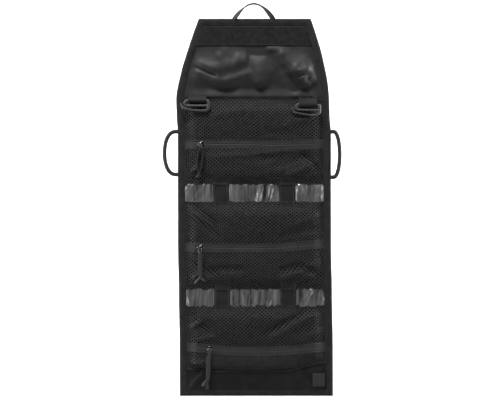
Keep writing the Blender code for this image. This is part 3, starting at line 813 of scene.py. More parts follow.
def netSpot(number, part, x, share, top, low):
    depth = top + (low - top) * share
    free = share if part == "upper" else 1 - share
    side = sideRise(x)
    overStrap = 1 - underStraps(x)
    stand = pocket["stand"] * smooth(free / pocket["rise"]) * side
    stand += pocket["bulge"] * math.cos(math.pi * x / 0.25) ** 2 * math.sin(math.pi * share) * side
    loose = side * math.sin(math.pi * min(max(share, 0), 1)) ** 0.6
    stand += loose * 0.0007 * ripple(x, depth, 0.024, 20.0 + number)
    stand += pocket["foldGain"] * loose * foldHeight(x, depth, netFolds[f"{number}{part}"])
    if number == 1 and part == "upper":  # the only net end that crosses no strap
        strap = 0.0
    else:
        gate = smooth((free - 0.2) / 0.1)
        strap = 0.0013 * overStrap * (1 - gate) * smooth(free / 0.01 + 1)
    stand = max(stand, strap + 0.00015 * side)
    return depth, max(-0.0012 - 0.0004 * side - stand, -0.0092)


def makeNet(number, part):
    end = pocketEnds[number]
    half = bag["halfWidth"] - pocket["tuck"]
    middle = zipDepth[number]
    height = (middle - end[0] if part == "upper" else end[1] - middle) - pocket["zipGap"]
    wide, high = pocket["diamond"]
    cellX = 2 * half / round(2 * half / wide)
    cellZ = height / (round(2 * height / high) / 2)
    bm = bmesh.new()
    reach = int((2 * half + height) / min(cellX, cellZ)) + 4
    bmesh.ops.create_grid(bm, x_segments=reach, y_segments=reach, size=reach / 2)
    turn = Matrix.Rotation(math.pi / 4, 4, "Z")
    size = Matrix.Diagonal((cellX / math.sqrt(2), cellZ / math.sqrt(2), 1, 1))
    bmesh.ops.transform(bm, matrix=size @ turn, verts=bm.verts)
    shift = Vector((-half, -height / 2, 0))
    if reach % 2:
        shift += Vector((cellX / 2, 0, 0))
    corner = Vector((round(shift.x / cellX) * cellX, round(shift.y / cellZ) * cellZ, 0))
    bmesh.ops.translate(bm, verts=bm.verts, vec=Vector((-half, -height / 2, 0)) - corner)
    for normal, spot in (
        ((1, 0, 0), (half, 0, 0)),
        ((-1, 0, 0), (-half, 0, 0)),
        ((0, 1, 0), (0, height / 2, 0)),
        ((0, -1, 0), (0, -height / 2, 0)),
    ):
        everything = bm.verts[:] + bm.edges[:] + bm.faces[:]
        bmesh.ops.bisect_plane(bm, geom=everything, dist=1e-6, plane_co=spot, plane_no=normal, clear_outer=True)
    bmesh.ops.remove_doubles(bm, verts=bm.verts, dist=1e-5)
    cells = [f for f in bm.faces if f.calc_area() > 0.2 * cellX * cellZ / 2]
    bmesh.ops.delete(bm, geom=[f for f in bm.faces if f not in set(cells)], context="FACES")
    bmesh.ops.inset_individual(bm, faces=cells, thickness=pocket["thread"], use_even_offset=True)
    bmesh.ops.delete(bm, geom=cells, context="FACES")
    for vert in bm.verts:
        x, share = vert.co.x, 0.5 - vert.co.y / height
        line = zipLine(number, x)
        top, low = (end[0], line - pocket["zipGap"]) if part == "upper" else (line + pocket["zipGap"], end[1])
        if number == 3 and part == "lower":
            low = lastEdge(x)
        depth, y = netSpot(number, part, x, share, top, low)
        loose = math.sin(math.pi * share) * sideRise(x)
        tug = 0.0022 * ripple(x, depth, 0.040, 31.0 + number) * loose
        pull = 0.0020 * ripple(x, depth, 0.030, 35.0 + number) * loose
        moveX, moveD = gatherAt(x, depth, netFolds[f"{number}{part}"])
        vert.co = place(x + pull + moveX * loose, depth + tug + moveD * loose, y)
    if sum(f.normal.y for f in bm.faces) > 0:
        bmesh.ops.reverse_faces(bm, faces=bm.faces)
    bm.normal_update()
    piece = makePiece(f"net{number}_{part}", bm, ["netThread"])
    rounding = piece.modifiers.new("rounding", "SUBSURF")
    rounding.levels = rounding.render_levels = 1
    rounding.boundary_smooth = "ALL"
    addThickness(piece, pocket["threadThickness"], 0)
    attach(piece, f"panel_{number}")
    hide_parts(f"net_{number}_{part}")


zipTape = {"thickness": 0.00055, "halves": 0.0079, "coil": 0.00022}


def makeZip(number):
    half = bag["halfWidth"] - 0.0075
    across = 150

    def heightAt(x, t):  # t runs from -1 to 1 across the tape
        over = abs(t)
        lift = zipTape["coil"] * math.exp(-(((over - 0.24) / 0.16) ** 2))
        groove = 0.00045 * math.exp(-((over / 0.05) ** 2))
        edge = 0.00030 * smooth((over - 0.86) / 0.14)
        soft = 0.00022 * ripple(x, t * 0.004, 0.018, 40.0 + number)
        return lift - groove - edge + soft

    def shape(u, v):
        x, t = (2 * u - 1) * half, 2 * v - 1
        t = math.copysign(abs(t) ** 1.35, t)  # rows crowd towards the groove
        depth = zipLine(number, x) + t * zipTape["halves"]
        y = -0.00150 - (pocket["stand"] + 0.0003 + heightAt(x, t)) * sideRise(x)
        return place(x, depth, y), (x, t * zipTape["halves"])

    bm = shapedGrid(across, 28, shape)
    for t in (-0.80, 0.80):
        row = []
        for i in range(81):
            x = (2 * i / 80 - 1) * (half - 0.004)
            y = -0.00152 - (pocket["stand"] + 0.0003 + heightAt(x, t)) * sideRise(x)
            row.append(place(x, zipLine(number, x) + t * zipTape["halves"], y))
        addStitchRow(bm, row, front, 1)
    piece = makePiece(f"zip{number}_tape", bm, ["zipCloth", "sewingThread"])
    addThickness(piece, zipTape["thickness"])
    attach(piece, f"panel_{number}")
    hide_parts(f"zip_{number}_tape")

    # the coil runs behind the tape, seen through the net from below
    coilHalf = bag["halfWidth"] - 0.030
    path = []
    turns = int(2 * coilHalf / 0.0016)
    for i in range(turns * 6 + 1):
        x = -coilHalf + 2 * coilHalf * i / (turns * 6)
        turn = 2 * math.pi * i / 6
        depth = zipLine(number, x) + 0.0015 * math.cos(turn)
        path.append(place(x, depth, -0.00585 + 0.00045 * math.sin(turn)))
    coil = makeCurve(f"zip{number}_coil", path, 0.00030, 0)
    coil.data.materials.append(finishes["zipTeeth"])
    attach(coil, f"panel_{number}")
    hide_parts(f"zip_{number}_coil")


def makeHem(name, number, depthAt, y0, width, bodyNode):  # a narrow folded hem that closes a net's edge
    half = bag["halfWidth"] - 0.0085

    def lift(x):
        return 0.0013 * (1 - underStraps(x)) if number != 1 or "End" in name else 0.0

    def shape(u, v):
        x, t = (2 * u - 1) * half, 2 * v - 1
        depth = depthAt(x) + t * width / 2 + 0.0003 * ripple(x, t, 0.012, 50.0)
        y = y0 - lift(x) - 0.00035 * (1 - t**4) - 0.00012 * ripple(x, t * 0.002, 0.006, 52.0)
        return place(x, depth, y), (x, t * width / 2)

    bm = shapedGrid(110, 6, shape)
    row = []
    for i in range(91):
        x = (2 * i / 90 - 1) * (half - 0.003)
        row.append(place(x, depthAt(x), y0 - lift(x) - 0.00042))
    addStitchRow(bm, row, front, 1)
    piece = makePiece(name, bm, ["webbing", "sewingThread"])
    addThickness(piece, 0.0004)
    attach(piece, f"panel_{number}")
    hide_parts(bodyNode)


for number in (1, 2, 3):
    makeNet(number, "upper")
    makeNet(number, "lower")
    makeZip(number)
    top, low = pocketEnds[number]
    hem = pocket["hem"]
    makeHem(f"net{number}_topHem", number, lambda x: top + hem / 2, -0.00165, hem, f"net_{number}_upper")
    if number < 3:
        makeHem(f"net{number}_endHemEnd", number, lambda x: low - hem / 2, -0.00165, hem, f"net_{number}_lower")
    else:
        makeHem("net3_endHem", number, lastEdge, -0.00265, hem, "net_3_lower")
print("nets sewn")

# webbing
strap = {"width": 0.025, "thickness": 0.0011, "centre": 0.054, "tuck": 0.013}


def ribbonPiece(name, path, width, thickness, acrossDirection, material, rows=8, curl=0.0, stitches=()):
    # a flat band along a path of (place, outward) pairs, its middle raised by curl
    measured = measuredAlong([spot for spot, _ in path])
    last = len(path) - 1

    def shape(u, v):
        i = round(v * last)
        spot, outward = path[i]
        across = acrossDirection(i) if callable(acrossDirection) else acrossDirection
        t = 2 * u - 1
        edge = 0.18 * thickness * smooth((abs(t) - 0.8) / 0.2)
        raised = outward * (curl * (1 - t * t) - edge)
        return spot + across * t * width / 2 + raised, (measured[i], t * width / 2)

    bm = shapedGrid(rows, last, shape)
    bm.normal_update()
    if sum((f.normal.dot(path[0][1]) for f in list(bm.faces)[:rows]), 0.0) < 0:
        bmesh.ops.reverse_faces(bm, faces=bm.faces)
    for row, outward in stitches:
        addStitchRow(bm, row, outward, 1)
    piece = makePiece(name, bm, [material, "sewingThread"])
    addThickness(piece, thickness)
    return piece


def strapHalf(number, side, part):
    sign = -1 if side == "left" else 1
    gap = gapOne if number == 1 else gapTwo
    middle = sum(gap) / 2
    fold = gap[0] if part == "Upper" else gap[1]
    top, low = (fold - strap["tuck"], middle) if part == "Upper" else (middle, fold + strap["tuck"])
    steps = 16
    centre = sign * strap["centre"]
    path = []
    for i in range(steps + 1):
        depth = top + (low - top) * i / steps
        lean = 0.0006 * math.sin(depth * 60 + number)
        y = -0.00222 - 0.00025 * math.sin(math.pi * smooth((depth - gap[0]) / (gap[1] - gap[0])))
        path.append((place(centre + lean, depth, y), front))
    rows = []
    for edge in (-1, 1):
        rows.append(([p + Vector((edge * 0.0102, -0.0001, 0)) for p, _ in path], front))
    piece = ribbonPiece(
        f"gap{number}_{side}Strap{part}", path, strap["width"], strap["thickness"], Vector((1, 0, 0)),
        "webbing", 10, 0.0002, rows,
    )
    bodies = {(1, "Upper"): ("panel_1", "strip_1"), (1, "Lower"): ("strip_1", "panel_2")}
    bodies.update({(2, "Upper"): ("panel_2", "strip_2"), (2, "Lower"): ("strip_2", "panel_3")})
    bendAt(piece, *bodies[number, part], fold)
    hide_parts(f"strip_{number}_strap_{side}")


for number in (1, 2):
    for side in ("left", "right"):
        strapHalf(number, side, "Upper")
        strapHalf(number, side, "Lower")

handle = {"rise": 0.0254, "span": 0.0635, "width": 0.0100, "thickness": 0.0019, "steps": 60, "foot": 0.008}


def makeHandle():
    half = handle["span"] / 2
    path, across = [], []
    for i in range(-6, handle["steps"] + 7):
        turn = math.pi * min(max(i / handle["steps"], 0), 1)
        under = max(-i, i - handle["steps"], 0) / 6  # the feet run down inside the edge tape
        reach = turn / (math.pi / 2) - 1
        x = -half * reach
        rise = handle["rise"] - handle["thickness"] / 2
        z = topZ + rise * (1 - abs(reach) ** 2.05) - under * handle["foot"]
        centre = Vector((x - 0.0016 + 0.0007 * math.sin(reach * 3.0), 0.0, z))
        along = Vector((-half, 0, -rise * 2.05 * math.copysign(abs(reach) ** 1.05, reach))).normalized()
        fromFoot = min(turn, math.pi - turn) / math.radians(62)
        twist = math.radians(40) * (1 - smooth(fromFoot)) + math.radians(45) * smooth(under * 2)
        sign = 1 if turn < math.pi / 2 else -1
        side = along.cross(Vector((0, 1, 0)))
        wide = (Vector((0, 1, 0)) * math.cos(twist) + side * math.sin(twist) * sign).normalized()
        path.append((centre, along.cross(wide).normalized()))
        across.append(wide)
    piece = ribbonPiece(
        "handleWebbing", path, handle["width"], handle["thickness"], lambda i: across[i],
        "webbing", 8, 0.0,
    )
    piece.modifiers["cloth"].offset = 0
    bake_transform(piece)
    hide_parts("top_handle")


makeHandle()

webTab = {"left": 0.030, "right": 0.0295, "thickness": 0.0011, "bar": 0.00175, "play": 0.0004, "top": 0.1250}


def makeTab(side):
    low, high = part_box(f"tab_{side}")
    centre = (low.x + high.x) / 2
    barY, barZ = -0.0104, jointAt[f"hook_{side}_swing"].z
    width = webTab[side]
    radius = webTab["bar"] + webTab["play"] + webTab["thickness"] / 2
    path = []
    topSpot = topZ - webTab["top"]
    for i in range(9):  # sewn part, then the slope out to the bar
        share = i / 8
        z = topSpot + (barZ + 0.0045 - topSpot) * share
        y = -0.0016 + (barY + radius * 0.6 + 0.0016) * smooth((share - 0.25) / 0.75)
        path.append(Vector((centre, y, z)))
    for i in range(11):  # round the back of the bar and up over its front
        turn = math.radians(35) - math.radians(215) * i / 10
        path.append(Vector((centre, barY + radius * math.cos(turn), barZ + radius * math.sin(turn))))
    for i in range(1, 10):
        share = i / 9
        z = barZ + (topSpot + 0.0004 - barZ) * share
        y = (barY - radius) + (-0.0030 - barY + radius) * smooth(share * 1.05)
        path.append(Vector((centre, y, z)))
    pairs = []
    for i, spot in enumerate(path):
        before, after = path[max(i - 1, 0)], path[min(i + 1, len(path) - 1)]
        along = (after - before).normalized()
        pairs.append((spot, Vector((0, along.z, -along.y))))
    stitches = []
    y = -0.0037
    for depth in (0.0012, 0.0030):
        z = topSpot - depth
        row = [Vector((centre - width * 0.42 + width * 0.84 * i / 10, y - depth * 0.55, z)) for i in range(11)]
        stitches.append((row, front))
    piece = ribbonPiece(
        f"{side}TabWebbing", pairs, width, webTab["thickness"], Vector((1, 0, 0)),
        "webbing", 12, 0.0, stitches,
    )
    piece.modifiers["cloth"].offset = 0
    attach(piece, "panel_1")
    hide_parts(f"tab_{side}")


for side in ("left", "right"):
    makeTab(side)
print("webbing sewn")

# hooks
hook = {"bar": 0.0039, "width": 0.050, "slot": 0.0085, "mouth": 0.0082, "horn": 0.0050, "lead": 0.0062}


def outlineOf(points, closed=True):
    spots, sizes = zip(*points)
    return meshOf(makeCurve("outline", spots, hook["bar"] / 2, 4, closed, sizes))


def makeHook(side):
    pivot = jointAt[f"hook_{side}_swing"]
    reach = hook["width"] / 2
    ringLow = pivot.z - hook["slot"]
    armLow = ringLow - hook["mouth"]
    leftX, rightX = pivot.x - reach + hook["lead"] + 0.0030, pivot.x + reach - 0.0026

    def at(x, z, lift=0.0):
        return Vector((x, pivot.y - lift, z))

    ring = [(at(leftX + 0.0030, pivot.z), 1.0), (at(leftX + 0.0008, pivot.z - 0.0016), 1.05),
            (at(leftX - 0.0004, (pivot.z + ringLow) / 2), 1.15), (at(leftX + 0.0004, ringLow + 0.0016), 1.1),
            (at(leftX + 0.0030, ringLow), 0.95)]
    ring += [(at(leftX + 0.003 + (rightX - leftX - 0.006) * i / 6, ringLow), 0.9) for i in range(1, 6)]
    ring += [(at(rightX - 0.0020, ringLow), 1.0), (at(rightX, ringLow + 0.0012), 1.45),
             (at(rightX + 0.0002, (pivot.z + ringLow) / 2), 1.5), (at(rightX, pivot.z - 0.0010), 1.4),
             (at(rightX - 0.0024, pivot.z + 0.0001), 1.0)]
    ring += [(at(rightX - 0.0024 - (rightX - leftX - 0.0054) * i / 6, pivot.z), 1.0) for i in range(1, 6)]
    tipX = leftX - 0.0024
    arm = [(at(rightX + 0.0002, ringLow + 0.001), 1.45), (at(rightX + 0.0002, (ringLow + armLow) / 2 + 0.001), 1.5),
           (at(rightX - 0.0010, armLow + 0.0022), 1.35), (at(rightX - 0.0052, armLow + 0.0004), 0.95),
           (at(rightX - 0.0120, armLow), 0.78)]
    for i in range(1, 9):
        share = i / 8
        x = rightX - 0.012 + (tipX - rightX + 0.012) * share
        arm.append((at(x, armLow + 0.0042 * share**1.7), 0.78 - 0.10 * math.sin(math.pi * share)))
    horn = []
    for i in range(6):  # the lead-in that turns up beside the ring
        share = i / 5
        x = tipX + 0.0004 + (pivot.x - reach + 0.0016 - tipX) * share
        horn.append((at(x, armLow + 0.0030 + (hook["horn"] + 0.0042) * share, 0.0003 * share), 0.95 - 0.25 * share))
    bm = bmesh.new()
    for mesh in (outlineOf(ring), outlineOf(arm, False), outlineOf(horn, False)):
        bm.from_mesh(mesh)
    bmesh.ops.remove_doubles(bm, verts=bm.verts, dist=1e-6)
    if side == "right":  # hangs a little askew on its webbing
        bmesh.ops.rotate(bm, verts=bm.verts, cent=pivot, matrix=Matrix.Rotation(math.radians(1.6), 3, "Y"))
    bmesh.ops.recalc_face_normals(bm, faces=bm.faces)
    piece = makePiece(f"{side}HookCasting", bm, ["hookGrey"])
    merge = piece.modifiers.new("casting", "REMESH")  # joins the three bars into one casting
    merge.mode, merge.voxel_size, merge.use_smooth_shade = "VOXEL", 0.00042, True
    soften = piece.modifiers.new("soften", "SMOOTH")
    soften.factor, soften.iterations = 0.5, 2
    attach(piece, f"hook_{side}")
    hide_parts(f"hook_{side}")


for side in ("left", "right"):
    makeHook(side)
print("hooks cast")

# side cords
sideCord = {"diameter": 0.0068, "sides": 16, "steps": 90}


def tubeAlong(name, path, radiusAt):
    measured = measuredAlong(path)
    last = len(path) - 1
    rounds = []
    for i, spot in enumerate(path):
        along = (path[min(i + 1, last)] - path[max(i - 1, 0)]).normalized()
        side = along.cross(Vector((0, 1, 0))).normalized()
        rounds.append((spot, side, along.cross(side).normalized()))

    def shape(u, v):
        spot, side, other = rounds[round(v * last)]
        turn = 2 * math.pi * u
        radius = radiusAt(measured[round(v * last)], measured[-1])
        skin = (side * math.cos(turn) + other * math.sin(turn)) * radius
        return spot + skin, (measured[round(v * last)], u * math.pi * sideCord["diameter"])

    bm = shapedGrid(sideCord["sides"], last, shape)
    bmesh.ops.remove_doubles(bm, verts=bm.verts, dist=1e-7)
    bmesh.ops.holes_fill(bm, edges=[e for e in bm.edges if e.is_boundary])
    bmesh.ops.recalc_face_normals(bm, faces=bm.faces)
    return makePiece(name, bm, ["braidedCord"]), measured[-1]


def makeSideCord(side):
    sign = -1 if side == "left" else 1
    low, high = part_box(f"side_loop_{side}")
    radius = sideCord["diameter"] / 2
    axis = jointAt[f"side_loop_{side}_swing"]
    top, bottom = high.z - radius, low.z + radius
    reach = (abs(high.x) if sign > 0 else abs(low.x)) - radius - abs(axis.x)
    middle, half = (top + bottom) / 2, (top - bottom) / 2
    square = 0.80 if side == "left" else 0.84
    path = []
    for i in range(sideCord["steps"] + 1):
        turn = math.pi * i / sideCord["steps"]
        out = max(math.sin(turn), 0.0)
        x = axis.x + sign * reach * out**square
        path.append(Vector((x, axis.y, middle + half * math.cos(turn))))
    # even spacing keeps the braid even
    measured = measuredAlong(path)
    even, at = [], 0
    for i in range(sideCord["steps"] + 1):
        want = measured[-1] * i / sideCord["steps"]
        while at < len(path) - 2 and measured[at + 1] < want:
            at += 1
        share = (want - measured[at]) / max(measured[at + 1] - measured[at], 1e-9)
        even.append(path[at].lerp(path[at + 1], share))
    piece, length = tubeAlong(f"{side}SideCord", even, lambda at, total: radius * 0.985)
    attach(piece, f"side_loop_{side}")
    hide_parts(f"side_loop_{side}")
    for end, z in (("top", top), ("low", bottom)):  # where the cord goes into the seam
        start = Vector((sign * 0.1215 + driftAt(topZ - z), 0, z))
        stub = [start.lerp(Vector((axis.x, 0, z)), i / 8) for i in range(9)]
        stub.append(stub[-1] + Vector((sign * 0.0012, 0, 0)))
        stub.append(stub[-1] + Vector((sign * 0.0009, 0, 0)))

        def rounded(at, total):  # the stub's outer end is rounded off
            past = max((at - total + 0.0022) / 0.0025, 0.0)
            return radius * math.sqrt(max(0.08, 1 - past**2))

        root, _ = tubeAlong(f"{side}CordRoot_{end}", stub, rounded)
        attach(root, "panel_1")


for side in ("left", "right"):
    makeSideCord(side)
print("side cords made")

# zip sliders, their pulls and ribbons
slider = {"length": 0.0108, "width": 0.0086, "thickness": 0.0022}


def isLevel(edge, axis):  # both ends at the same place on that axis
    a, b = (getattr(vert.co, axis) for vert in edge.verts)
    return abs(a - b) < 1e-6


def makeSlider(number):
    low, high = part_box(f"zip_{number}_slider")
    centre = (low + high) / 2
    bm = bmesh.new()
    bmesh.ops.create_cube(bm, size=1)
    bmesh.ops.scale(bm, verts=bm.verts, vec=(slider["length"], slider["thickness"] * 0.55, slider["width"]))
    bevel = {"offset_type": "OFFSET", "profile": 0.5, "affect": "EDGES", "material": -1}
    ends = [e for e in bm.edges if isLevel(e, "x") and isLevel(e, "z")]
    bmesh.ops.bevel(bm, geom=ends, offset=0.0026, segments=4, **bevel)
    for vert in bm.verts:  # narrower at its tail
        if vert.co.x < 0:
            vert.co.z *= 1 - 0.28 * smooth(-vert.co.x / (slider["length"] / 2))
    rims = [e for e in bm.edges if isLevel(e, "y") and e.verts[0].co.y < 0]
    bmesh.ops.bevel(bm, geom=rims, offset=0.0004, segments=2, **bevel)
    bmesh.ops.translate(bm, verts=bm.verts, vec=(centre.x, high.y - slider["thickness"] * 0.275, centre.z))
    # the bridge that the pull hangs on
    rounds = []
    for i in range(13):
        turn = math.pi * i / 12
        y = high.y - 0.0010 - 0.00125 * math.sin(turn) ** 0.7
        rounds.append(Vector((centre.x + 0.0040 * math.cos(turn), y, centre.z)))
    bm.from_mesh(meshOf(makeCurve("bridge", rounds, 0.0007, 3)))
    piece = makePiece(f"zip{number}_sliderBody", bm, ["sliderMetal"])
    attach(piece, f"slider_{number}")
    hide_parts(f"zip_{number}_slider")

    # the pull: a flat ring hung on the bridge, its eye holding the ribbon
    low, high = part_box(f"zip_{number}_pull")
    y = (low.y + high.y) / 2
    half, top, end = 0.0025, high.z, low.z
    ring = []
    for i in range(24):
        turn = 2 * math.pi * i / 24
        z = top - half if math.sin(turn) > 0 else end + half
        ring.append(Vector((centre.x + 0.0019 * math.cos(turn), y, z + 0.0019 * math.sin(turn))))
    bm = bmesh.new()
    bm.from_mesh(meshOf(makeCurve("pullRing", ring, 0.0006, 3, closed=True)))
    pull = makePiece(f"zip{number}_pullRing", bm, ["sliderMetal"])
    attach(pull, f"pull_{number}")
    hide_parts(f"zip_{number}_pull")


ribbons = {
    1: {"legs": (-0.0040, 0.0036), "width": 0.0050, "lean": -0.0014, "knot": 0.0050, "rise": 0.0085,
        "tails": ((-0.0036, 0.0076), (-0.0006, 0.0070))},
    2: {"legs": (0.0,), "width": 0.0074, "lean": 0.0006, "knot": 0.0062, "rise": 0.0125,
        "tails": ((-0.0078, 0.0098), (0.0052, 0.0058))},
    3: {"legs": (0.0,), "width": 0.0070, "lean": -0.0030, "knot": 0.0064, "rise": 0.0175,
        "tails": ((-0.0070, 0.0095), (-0.0016, 0.0150))},
}


def makePuller(number):
    low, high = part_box(f"puller_{number}")
    ribbon = ribbons[number]
    x0, y0 = (low.x + high.x) / 2, (low.y + high.y) / 2
    top = high.z + 0.0040  # looped through the eye of the pull
    knotZ = low.z + ribbon["rise"]
    steps = 26
    bm = bmesh.new()
    bm.loops.layers.uv.new("cloth")

    def addBand(spots, widths, tilt, lift):
        def shape(u, v):
            i, t = round(v * (len(spots) - 1)), 2 * u - 1
            reach = t * widths[i] / 2
            cup = 0.0009 * (1 - t * t)
            moved = spots[i] + Vector((reach * math.cos(tilt), lift - cup + reach * math.sin(tilt), 0))
            return moved, ((spots[0] - spots[i]).length, reach)

        grid = shapedGrid(8, len(spots) - 1, shape)
        mesh = bpy.data.meshes.new("band")
        grid.to_mesh(mesh)
        grid.free()
        bm.from_mesh(mesh)
        bpy.data.meshes.remove(mesh)

    for offset in ribbon["legs"]:
        for lift in (-0.0004, 0.0003):
            spots, widths = [], []
            for i in range(steps + 1):
                share = i / steps
                z = top + (knotZ - top) * share
                gather = smooth((share - 0.82) / 0.18)
                away = math.sin(math.pi * min(share * 1.15, 1.0)) ** 0.6
                x = x0 + ribbon["lean"] * share + offset * (1 - gather * 0.6) * (0.45 + 0.55 * away)
                x += 0.0005 * math.sin(share * 5 + number)
                spots.append(Vector((x, y0 - 0.0002 * math.sin(share * 7), z)))
                start = 0.35 * (1 - smooth(share / 0.14))
                widths.append(ribbon["width"] * (1 - 0.5 * gather - start))
            addBand(spots, widths, 0.16 if offset <= 0 else -0.16, lift)
    knotX = x0 + ribbon["lean"]
    for sign, (away, drop) in zip((-1, 1), ribbon["tails"]):
        spots, widths = [], []
        for i in range(11):
            share = i / 10
            x = knotX + sign * 0.0008 + away * share**0.85 + 0.0005 * math.sin(5 * share + number)
            y = y0 - 0.0003 + sign * 0.0005 * (1 - share) - 0.0006 * share
            spots.append(Vector((x, y, knotZ - drop * share)))
            widths.append(0.0032 + 0.0022 * smooth(share * 1.3))
        addBand(spots, widths, 0.30 * sign, 0.0)
    bmesh.ops.recalc_face_normals(bm, faces=bm.faces)
    for face in bm.faces:
        if face.normal.y > 0:
            face.normal_flip()
    # the first puller gets the darker painted-shade copy of the ribbon
    shade = "ribbonPaintedShade" if number == 1 else "ribbonCloth"
    piece = makePiece(f"puller{number}_ribbon", bm, [shade])
    addThickness(piece, 0.00045, 0)
    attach(piece, f"pull_{number}")
    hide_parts(f"puller_{number}")

    # the knot is a short wrap drawn tight round the legs
    knot = bmesh.new()
    bmesh.ops.create_uvsphere(knot, u_segments=28, v_segments=18, radius=1)
    for vert in knot.verts:
        c = vert.co.copy()
        wrap = 1 + 0.07 * math.sin(7 * c.z + 2.4 * c.x) + 0.05 * noise.noise(c * 2.3 + Vector((number, 0, 0)))
        square = Vector((math.copysign(abs(c.x) ** 0.75, c.x), c.y, math.copysign(abs(c.z) ** 0.8, c.z)))
        vert.co = Vector((knotX, y0 - 0.0002, knotZ)) + Vector(
            (square.x * ribbon["knot"] / 2, square.y * 0.0016, square.z * 0.0031 + square.x * 0.0006)
        ) * wrap
    wrapPiece = makePiece(f"puller{number}_knot", knot, [shade])
    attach(wrapPiece, f"pull_{number}")
    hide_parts(f"puller_{number}")


for number in (1, 2, 3):
    makeSlider(number)
    makePuller(number)
print("zips fitted")

# closure pile, patch, bottom band and label
pile = {"thickness": 0.0004, "nap": 0.00028, "patchThickness": 0.0008, "patchNap": 0.0002, "patchInset": 0.0022}


def makePile():
    top, low = bag["bindingWidth"] + 0.0001, tipFold - 0.0016

    def shape(u, v):
        depth = top + (low - top) * v
        x = (2 * u - 1) * (halfAt(depth) - bag["bindingWidth"] - 0.0001)
        inside = min(u, 1 - u) * 160, min(v, 1 - v) * 34
        edge = smooth(min(inside) / 1.6)
        nap = pile["nap"] * (ripple(x, depth, 0.0016, 2.2) + 0.6 * ripple(x, depth, 0.012, 61.0))
        y = -0.00125 - (0.0010 + nap) * edge
        return place(x, depth, y), (x, depth)

    bm = shapedGrid(150, 31, shape)
    for depth in (low - 0.0018, top + 0.0018):
        half = halfAt(depth) - bag["bindingWidth"] - 0.002
        addStitchRow(bm, [place(half * (2 * i / 60 - 1), depth, -0.00222) for i in range(61)], front, 1)
    piece = makePiece("closurePileBand", bm, ["closurePile", "sewingThread"])
    addThickness(piece, pile["thickness"])
    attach(piece, "flap_tip")
    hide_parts("closure_tape")


def makePatch():
    low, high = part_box("closure_patch")

    def shape(u, v):
        x = high.x + (low.x - high.x) * u
        z = high.z + (low.z - high.z) * v
        edge = smooth(min(min(u, 1 - u) * 100, min(v, 1 - v) * 22) / 1.4)
        nap = pile["patchNap"] * ripple(x, z, 0.0017, 5.2)
        return Vector((x, high.y - 0.0004 + (0.0005 + nap) * edge, z)), (x, z)

    bm = shapedGrid(110, 24, shape)
    inset = pile["patchInset"]
    left, right, under, over = low.x + inset, high.x - inset, low.z + inset, high.z - inset
    box = [(left, over), (right, over), (right, under), (left, under), (left, over)]
    for (x0, z0), (x1, z1) in zip(box, box[1:]):
        addStitchRow(bm, [Vector((x0, high.y + 0.0002, z0)), Vector((x1, high.y + 0.0002, z1))], back, 1)
    piece = makePiece("closurePatchHook", bm, ["closurePile", "sewingThread"])
    addThickness(piece, pile["patchThickness"])
    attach(piece, "panel_2")
    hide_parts("closure_patch")


bandFolds = (
    (-0.112, 0.606, -0.086, 0.578, 0.0028, 0.0016),
    (-0.106, 0.606, -0.084, 0.590, 0.0016, -0.0011),
    (0.066, 0.578, 0.086, 0.602, 0.0026, 0.0014),
    (0.060, 0.582, 0.082, 0.606, 0.0026, -0.0010),
    (0.048, 0.580, 0.062, 0.592, 0.0040, 0.0009),
    (0.088, 0.573, 0.108, 0.575, 0.0022, 0.0008),
)


def makeBottomBand():
    top, low = pocketEnds[3][1] - 0.0230, bottomDepth - bag["bindingWidth"] + 0.003

    def shape(u, v):
        depth = top + (low - top) * v
        x = (2 * u - 1) * (bag["halfWidth"] - 0.0085)
        below = smooth((depth - pocketEnds[3][1] + 0.006) / 0.006)
        edge = smooth(min(u, 1 - u) * 14) * below * smooth((1.05 - v) * 8)
        soft = 0.0014 + 0.0003 * ripple(x, depth, 0.020, 71.0)
        relief = (soft + 1.5 * foldHeight(x, depth, bandFolds)) * edge
        return place(x, depth, -0.00130 - max(relief, 0.0)), (x, depth)

    bm = shapedGrid(120, 20, shape)
    piece = makePiece("bottomBandCloth", bm, ["bandNylon"])
    addThickness(piece, 0.0003)
    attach(piece, "panel_3")
    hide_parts("bottom_band")


def makeLabel():
    low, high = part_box("blank_label")
    shift = Vector((0.0034, 0, 0.0040))

    def shape(u, v):
        x = low.x + (high.x - low.x) * u
        z = high.z + (low.z - high.z) * v
        curl = 0.0005 * smooth(abs(2 * v - 1) ** 3) * (0.5 + u)
        return Vector((x, low.y - 0.0026 - 0.0003 * math.sin(math.pi * v) + curl, z)) + shift, (x, z)

    bm = shapedGrid(16, 18, shape)
    for x in (low.x + 0.0012, high.x - 0.0012):
        row = [Vector((x, low.y - 0.0029, z)) + shift for z in (high.z - 0.001, low.z + 0.001)]
        addStitchRow(bm, row, front, 1)
    piece = makePiece("blankLabelWeave", bm, ["wovenLabel", "sewingThread"])
    addThickness(piece, 0.0003)
    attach(piece, "panel_3")
    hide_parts("blank_label")


makePile()
makePatch()
makeBottomBand()
makeLabel()
print("closure, band and label made")


# room, lights and camera
room = {"width": 7.0, "front": -3.2, "wall": 0.80, "floor": -1.15, "bend": 0.35, "top": 2.4, "worldLight": 0.035}


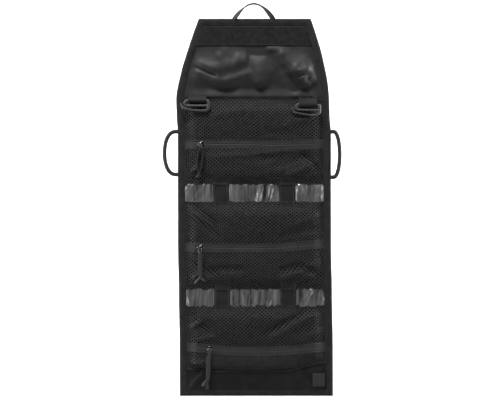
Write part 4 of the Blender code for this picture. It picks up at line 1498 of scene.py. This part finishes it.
def makeBackdrop():
    bm = bmesh.new()
    bend, wall, floor = room["bend"], room["wall"], room["floor"]
    profile = [(room["front"], floor), (wall - bend, floor)]
    for turn in (0.4, 0.8, 1.2, math.pi / 2):
        profile.append((wall - bend + bend * math.sin(turn), floor + bend - bend * math.cos(turn)))
    profile.append((wall, room["top"]))
    verts = [bm.verts.new((-room["width"] / 2, y, z)) for y, z in profile]
    edges = [bm.edges.new(pair) for pair in zip(verts, verts[1:])]
    made = bmesh.ops.extrude_edge_only(bm, edges=edges)
    moved = [v for v in made["geom"] if isinstance(v, bmesh.types.BMVert)]
    bmesh.ops.translate(bm, verts=moved, vec=(room["width"], 0, 0))
    for face in bm.faces:
        face.smooth = True
    mesh = bpy.data.meshes.new("backdrop")
    bm.to_mesh(mesh)
    bm.free()
    for name, shade in (("paleWall", 0.93), ("greyFloor", 0.30)):
        paper = bpy.data.materials.new(name)
        paper.use_nodes = True
        nodes, links = paper.node_tree.nodes, paper.node_tree.links
        shader = nodes["Principled BSDF"]
        shader.inputs["Base Color"].default_value = (shade, shade, shade, 1)
        shader.inputs["Roughness"].default_value = 0.9
        shader.inputs["Specular IOR Level"].default_value = 0.1
        side = nodes.new("ShaderNodeNewGeometry")
        clear, mixed = nodes.new("ShaderNodeBsdfTransparent"), nodes.new("ShaderNodeMixShader")
        links.new(side.outputs["Backfacing"], mixed.inputs[0])  # one-sided, so that it is clear from outside
        links.new(shader.outputs[0], mixed.inputs[1])
        links.new(clear.outputs[0], mixed.inputs[2])
        links.new(mixed.outputs[0], nodes["Material Output"].inputs["Surface"])
        mesh.materials.append(paper)
    for face in mesh.polygons:
        face.material_index = int(face.center.z < floor + 0.03)
    sweep = bpy.data.objects.new("backdrop", mesh)
    bpy.context.scene.collection.objects.link(sweep)


def addLight(name, spot, aim, size, power):
    lamp = bpy.data.lights.new(name, "AREA")
    lamp.shape, lamp.size, lamp.size_y = "RECTANGLE", size[0], size[1]
    lamp.energy = power
    held = bpy.data.objects.new(name, lamp)
    held.location = spot
    held.rotation_euler = (Vector(aim) - Vector(spot)).to_track_quat("-Z", "Y").to_euler()
    bpy.context.scene.collection.objects.link(held)


scene = bpy.context.scene
makeBackdrop()
addLight("key", (-0.35, -0.80, 1.60), (0, 0, -0.35), (0.7, 0.4), 52)
addLight("leftStrip", (-1.3, -0.90, -0.55), (0, 0, -0.42), (0.2, 1.2), 6)
addLight("rightStrip", (1.35, -0.85, -0.50), (0, 0, -0.42), (0.2, 1.2), 5)
addLight("backdropLeft", (-1.5, 0.2, 0.1), (0.5, 0.8, -0.4), (0.5, 1.8), 60)
addLight("backdropRight", (1.5, 0.2, 0.1), (-0.5, 0.8, -0.4), (0.5, 1.8), 60)
world = bpy.data.worlds.new("studio")
world.use_nodes = True
sky = world.node_tree.nodes["Background"].inputs
sky["Color"].default_value, sky["Strength"].default_value = (1, 1, 1, 1), room["worldLight"]
scene.world = world
scene.view_settings.view_transform = "Standard"

lens = bpy.data.cameras.new("camera")
lens.lens, lens.sensor_width = 110, 36
camera = bpy.data.objects.new("camera", lens)
camera.location = (-0.0077, -2.5, -0.3217)
camera.rotation_euler = (math.pi / 2, 0, 0)
scene.collection.objects.link(camera)
scene.camera = camera

print("scene ready")
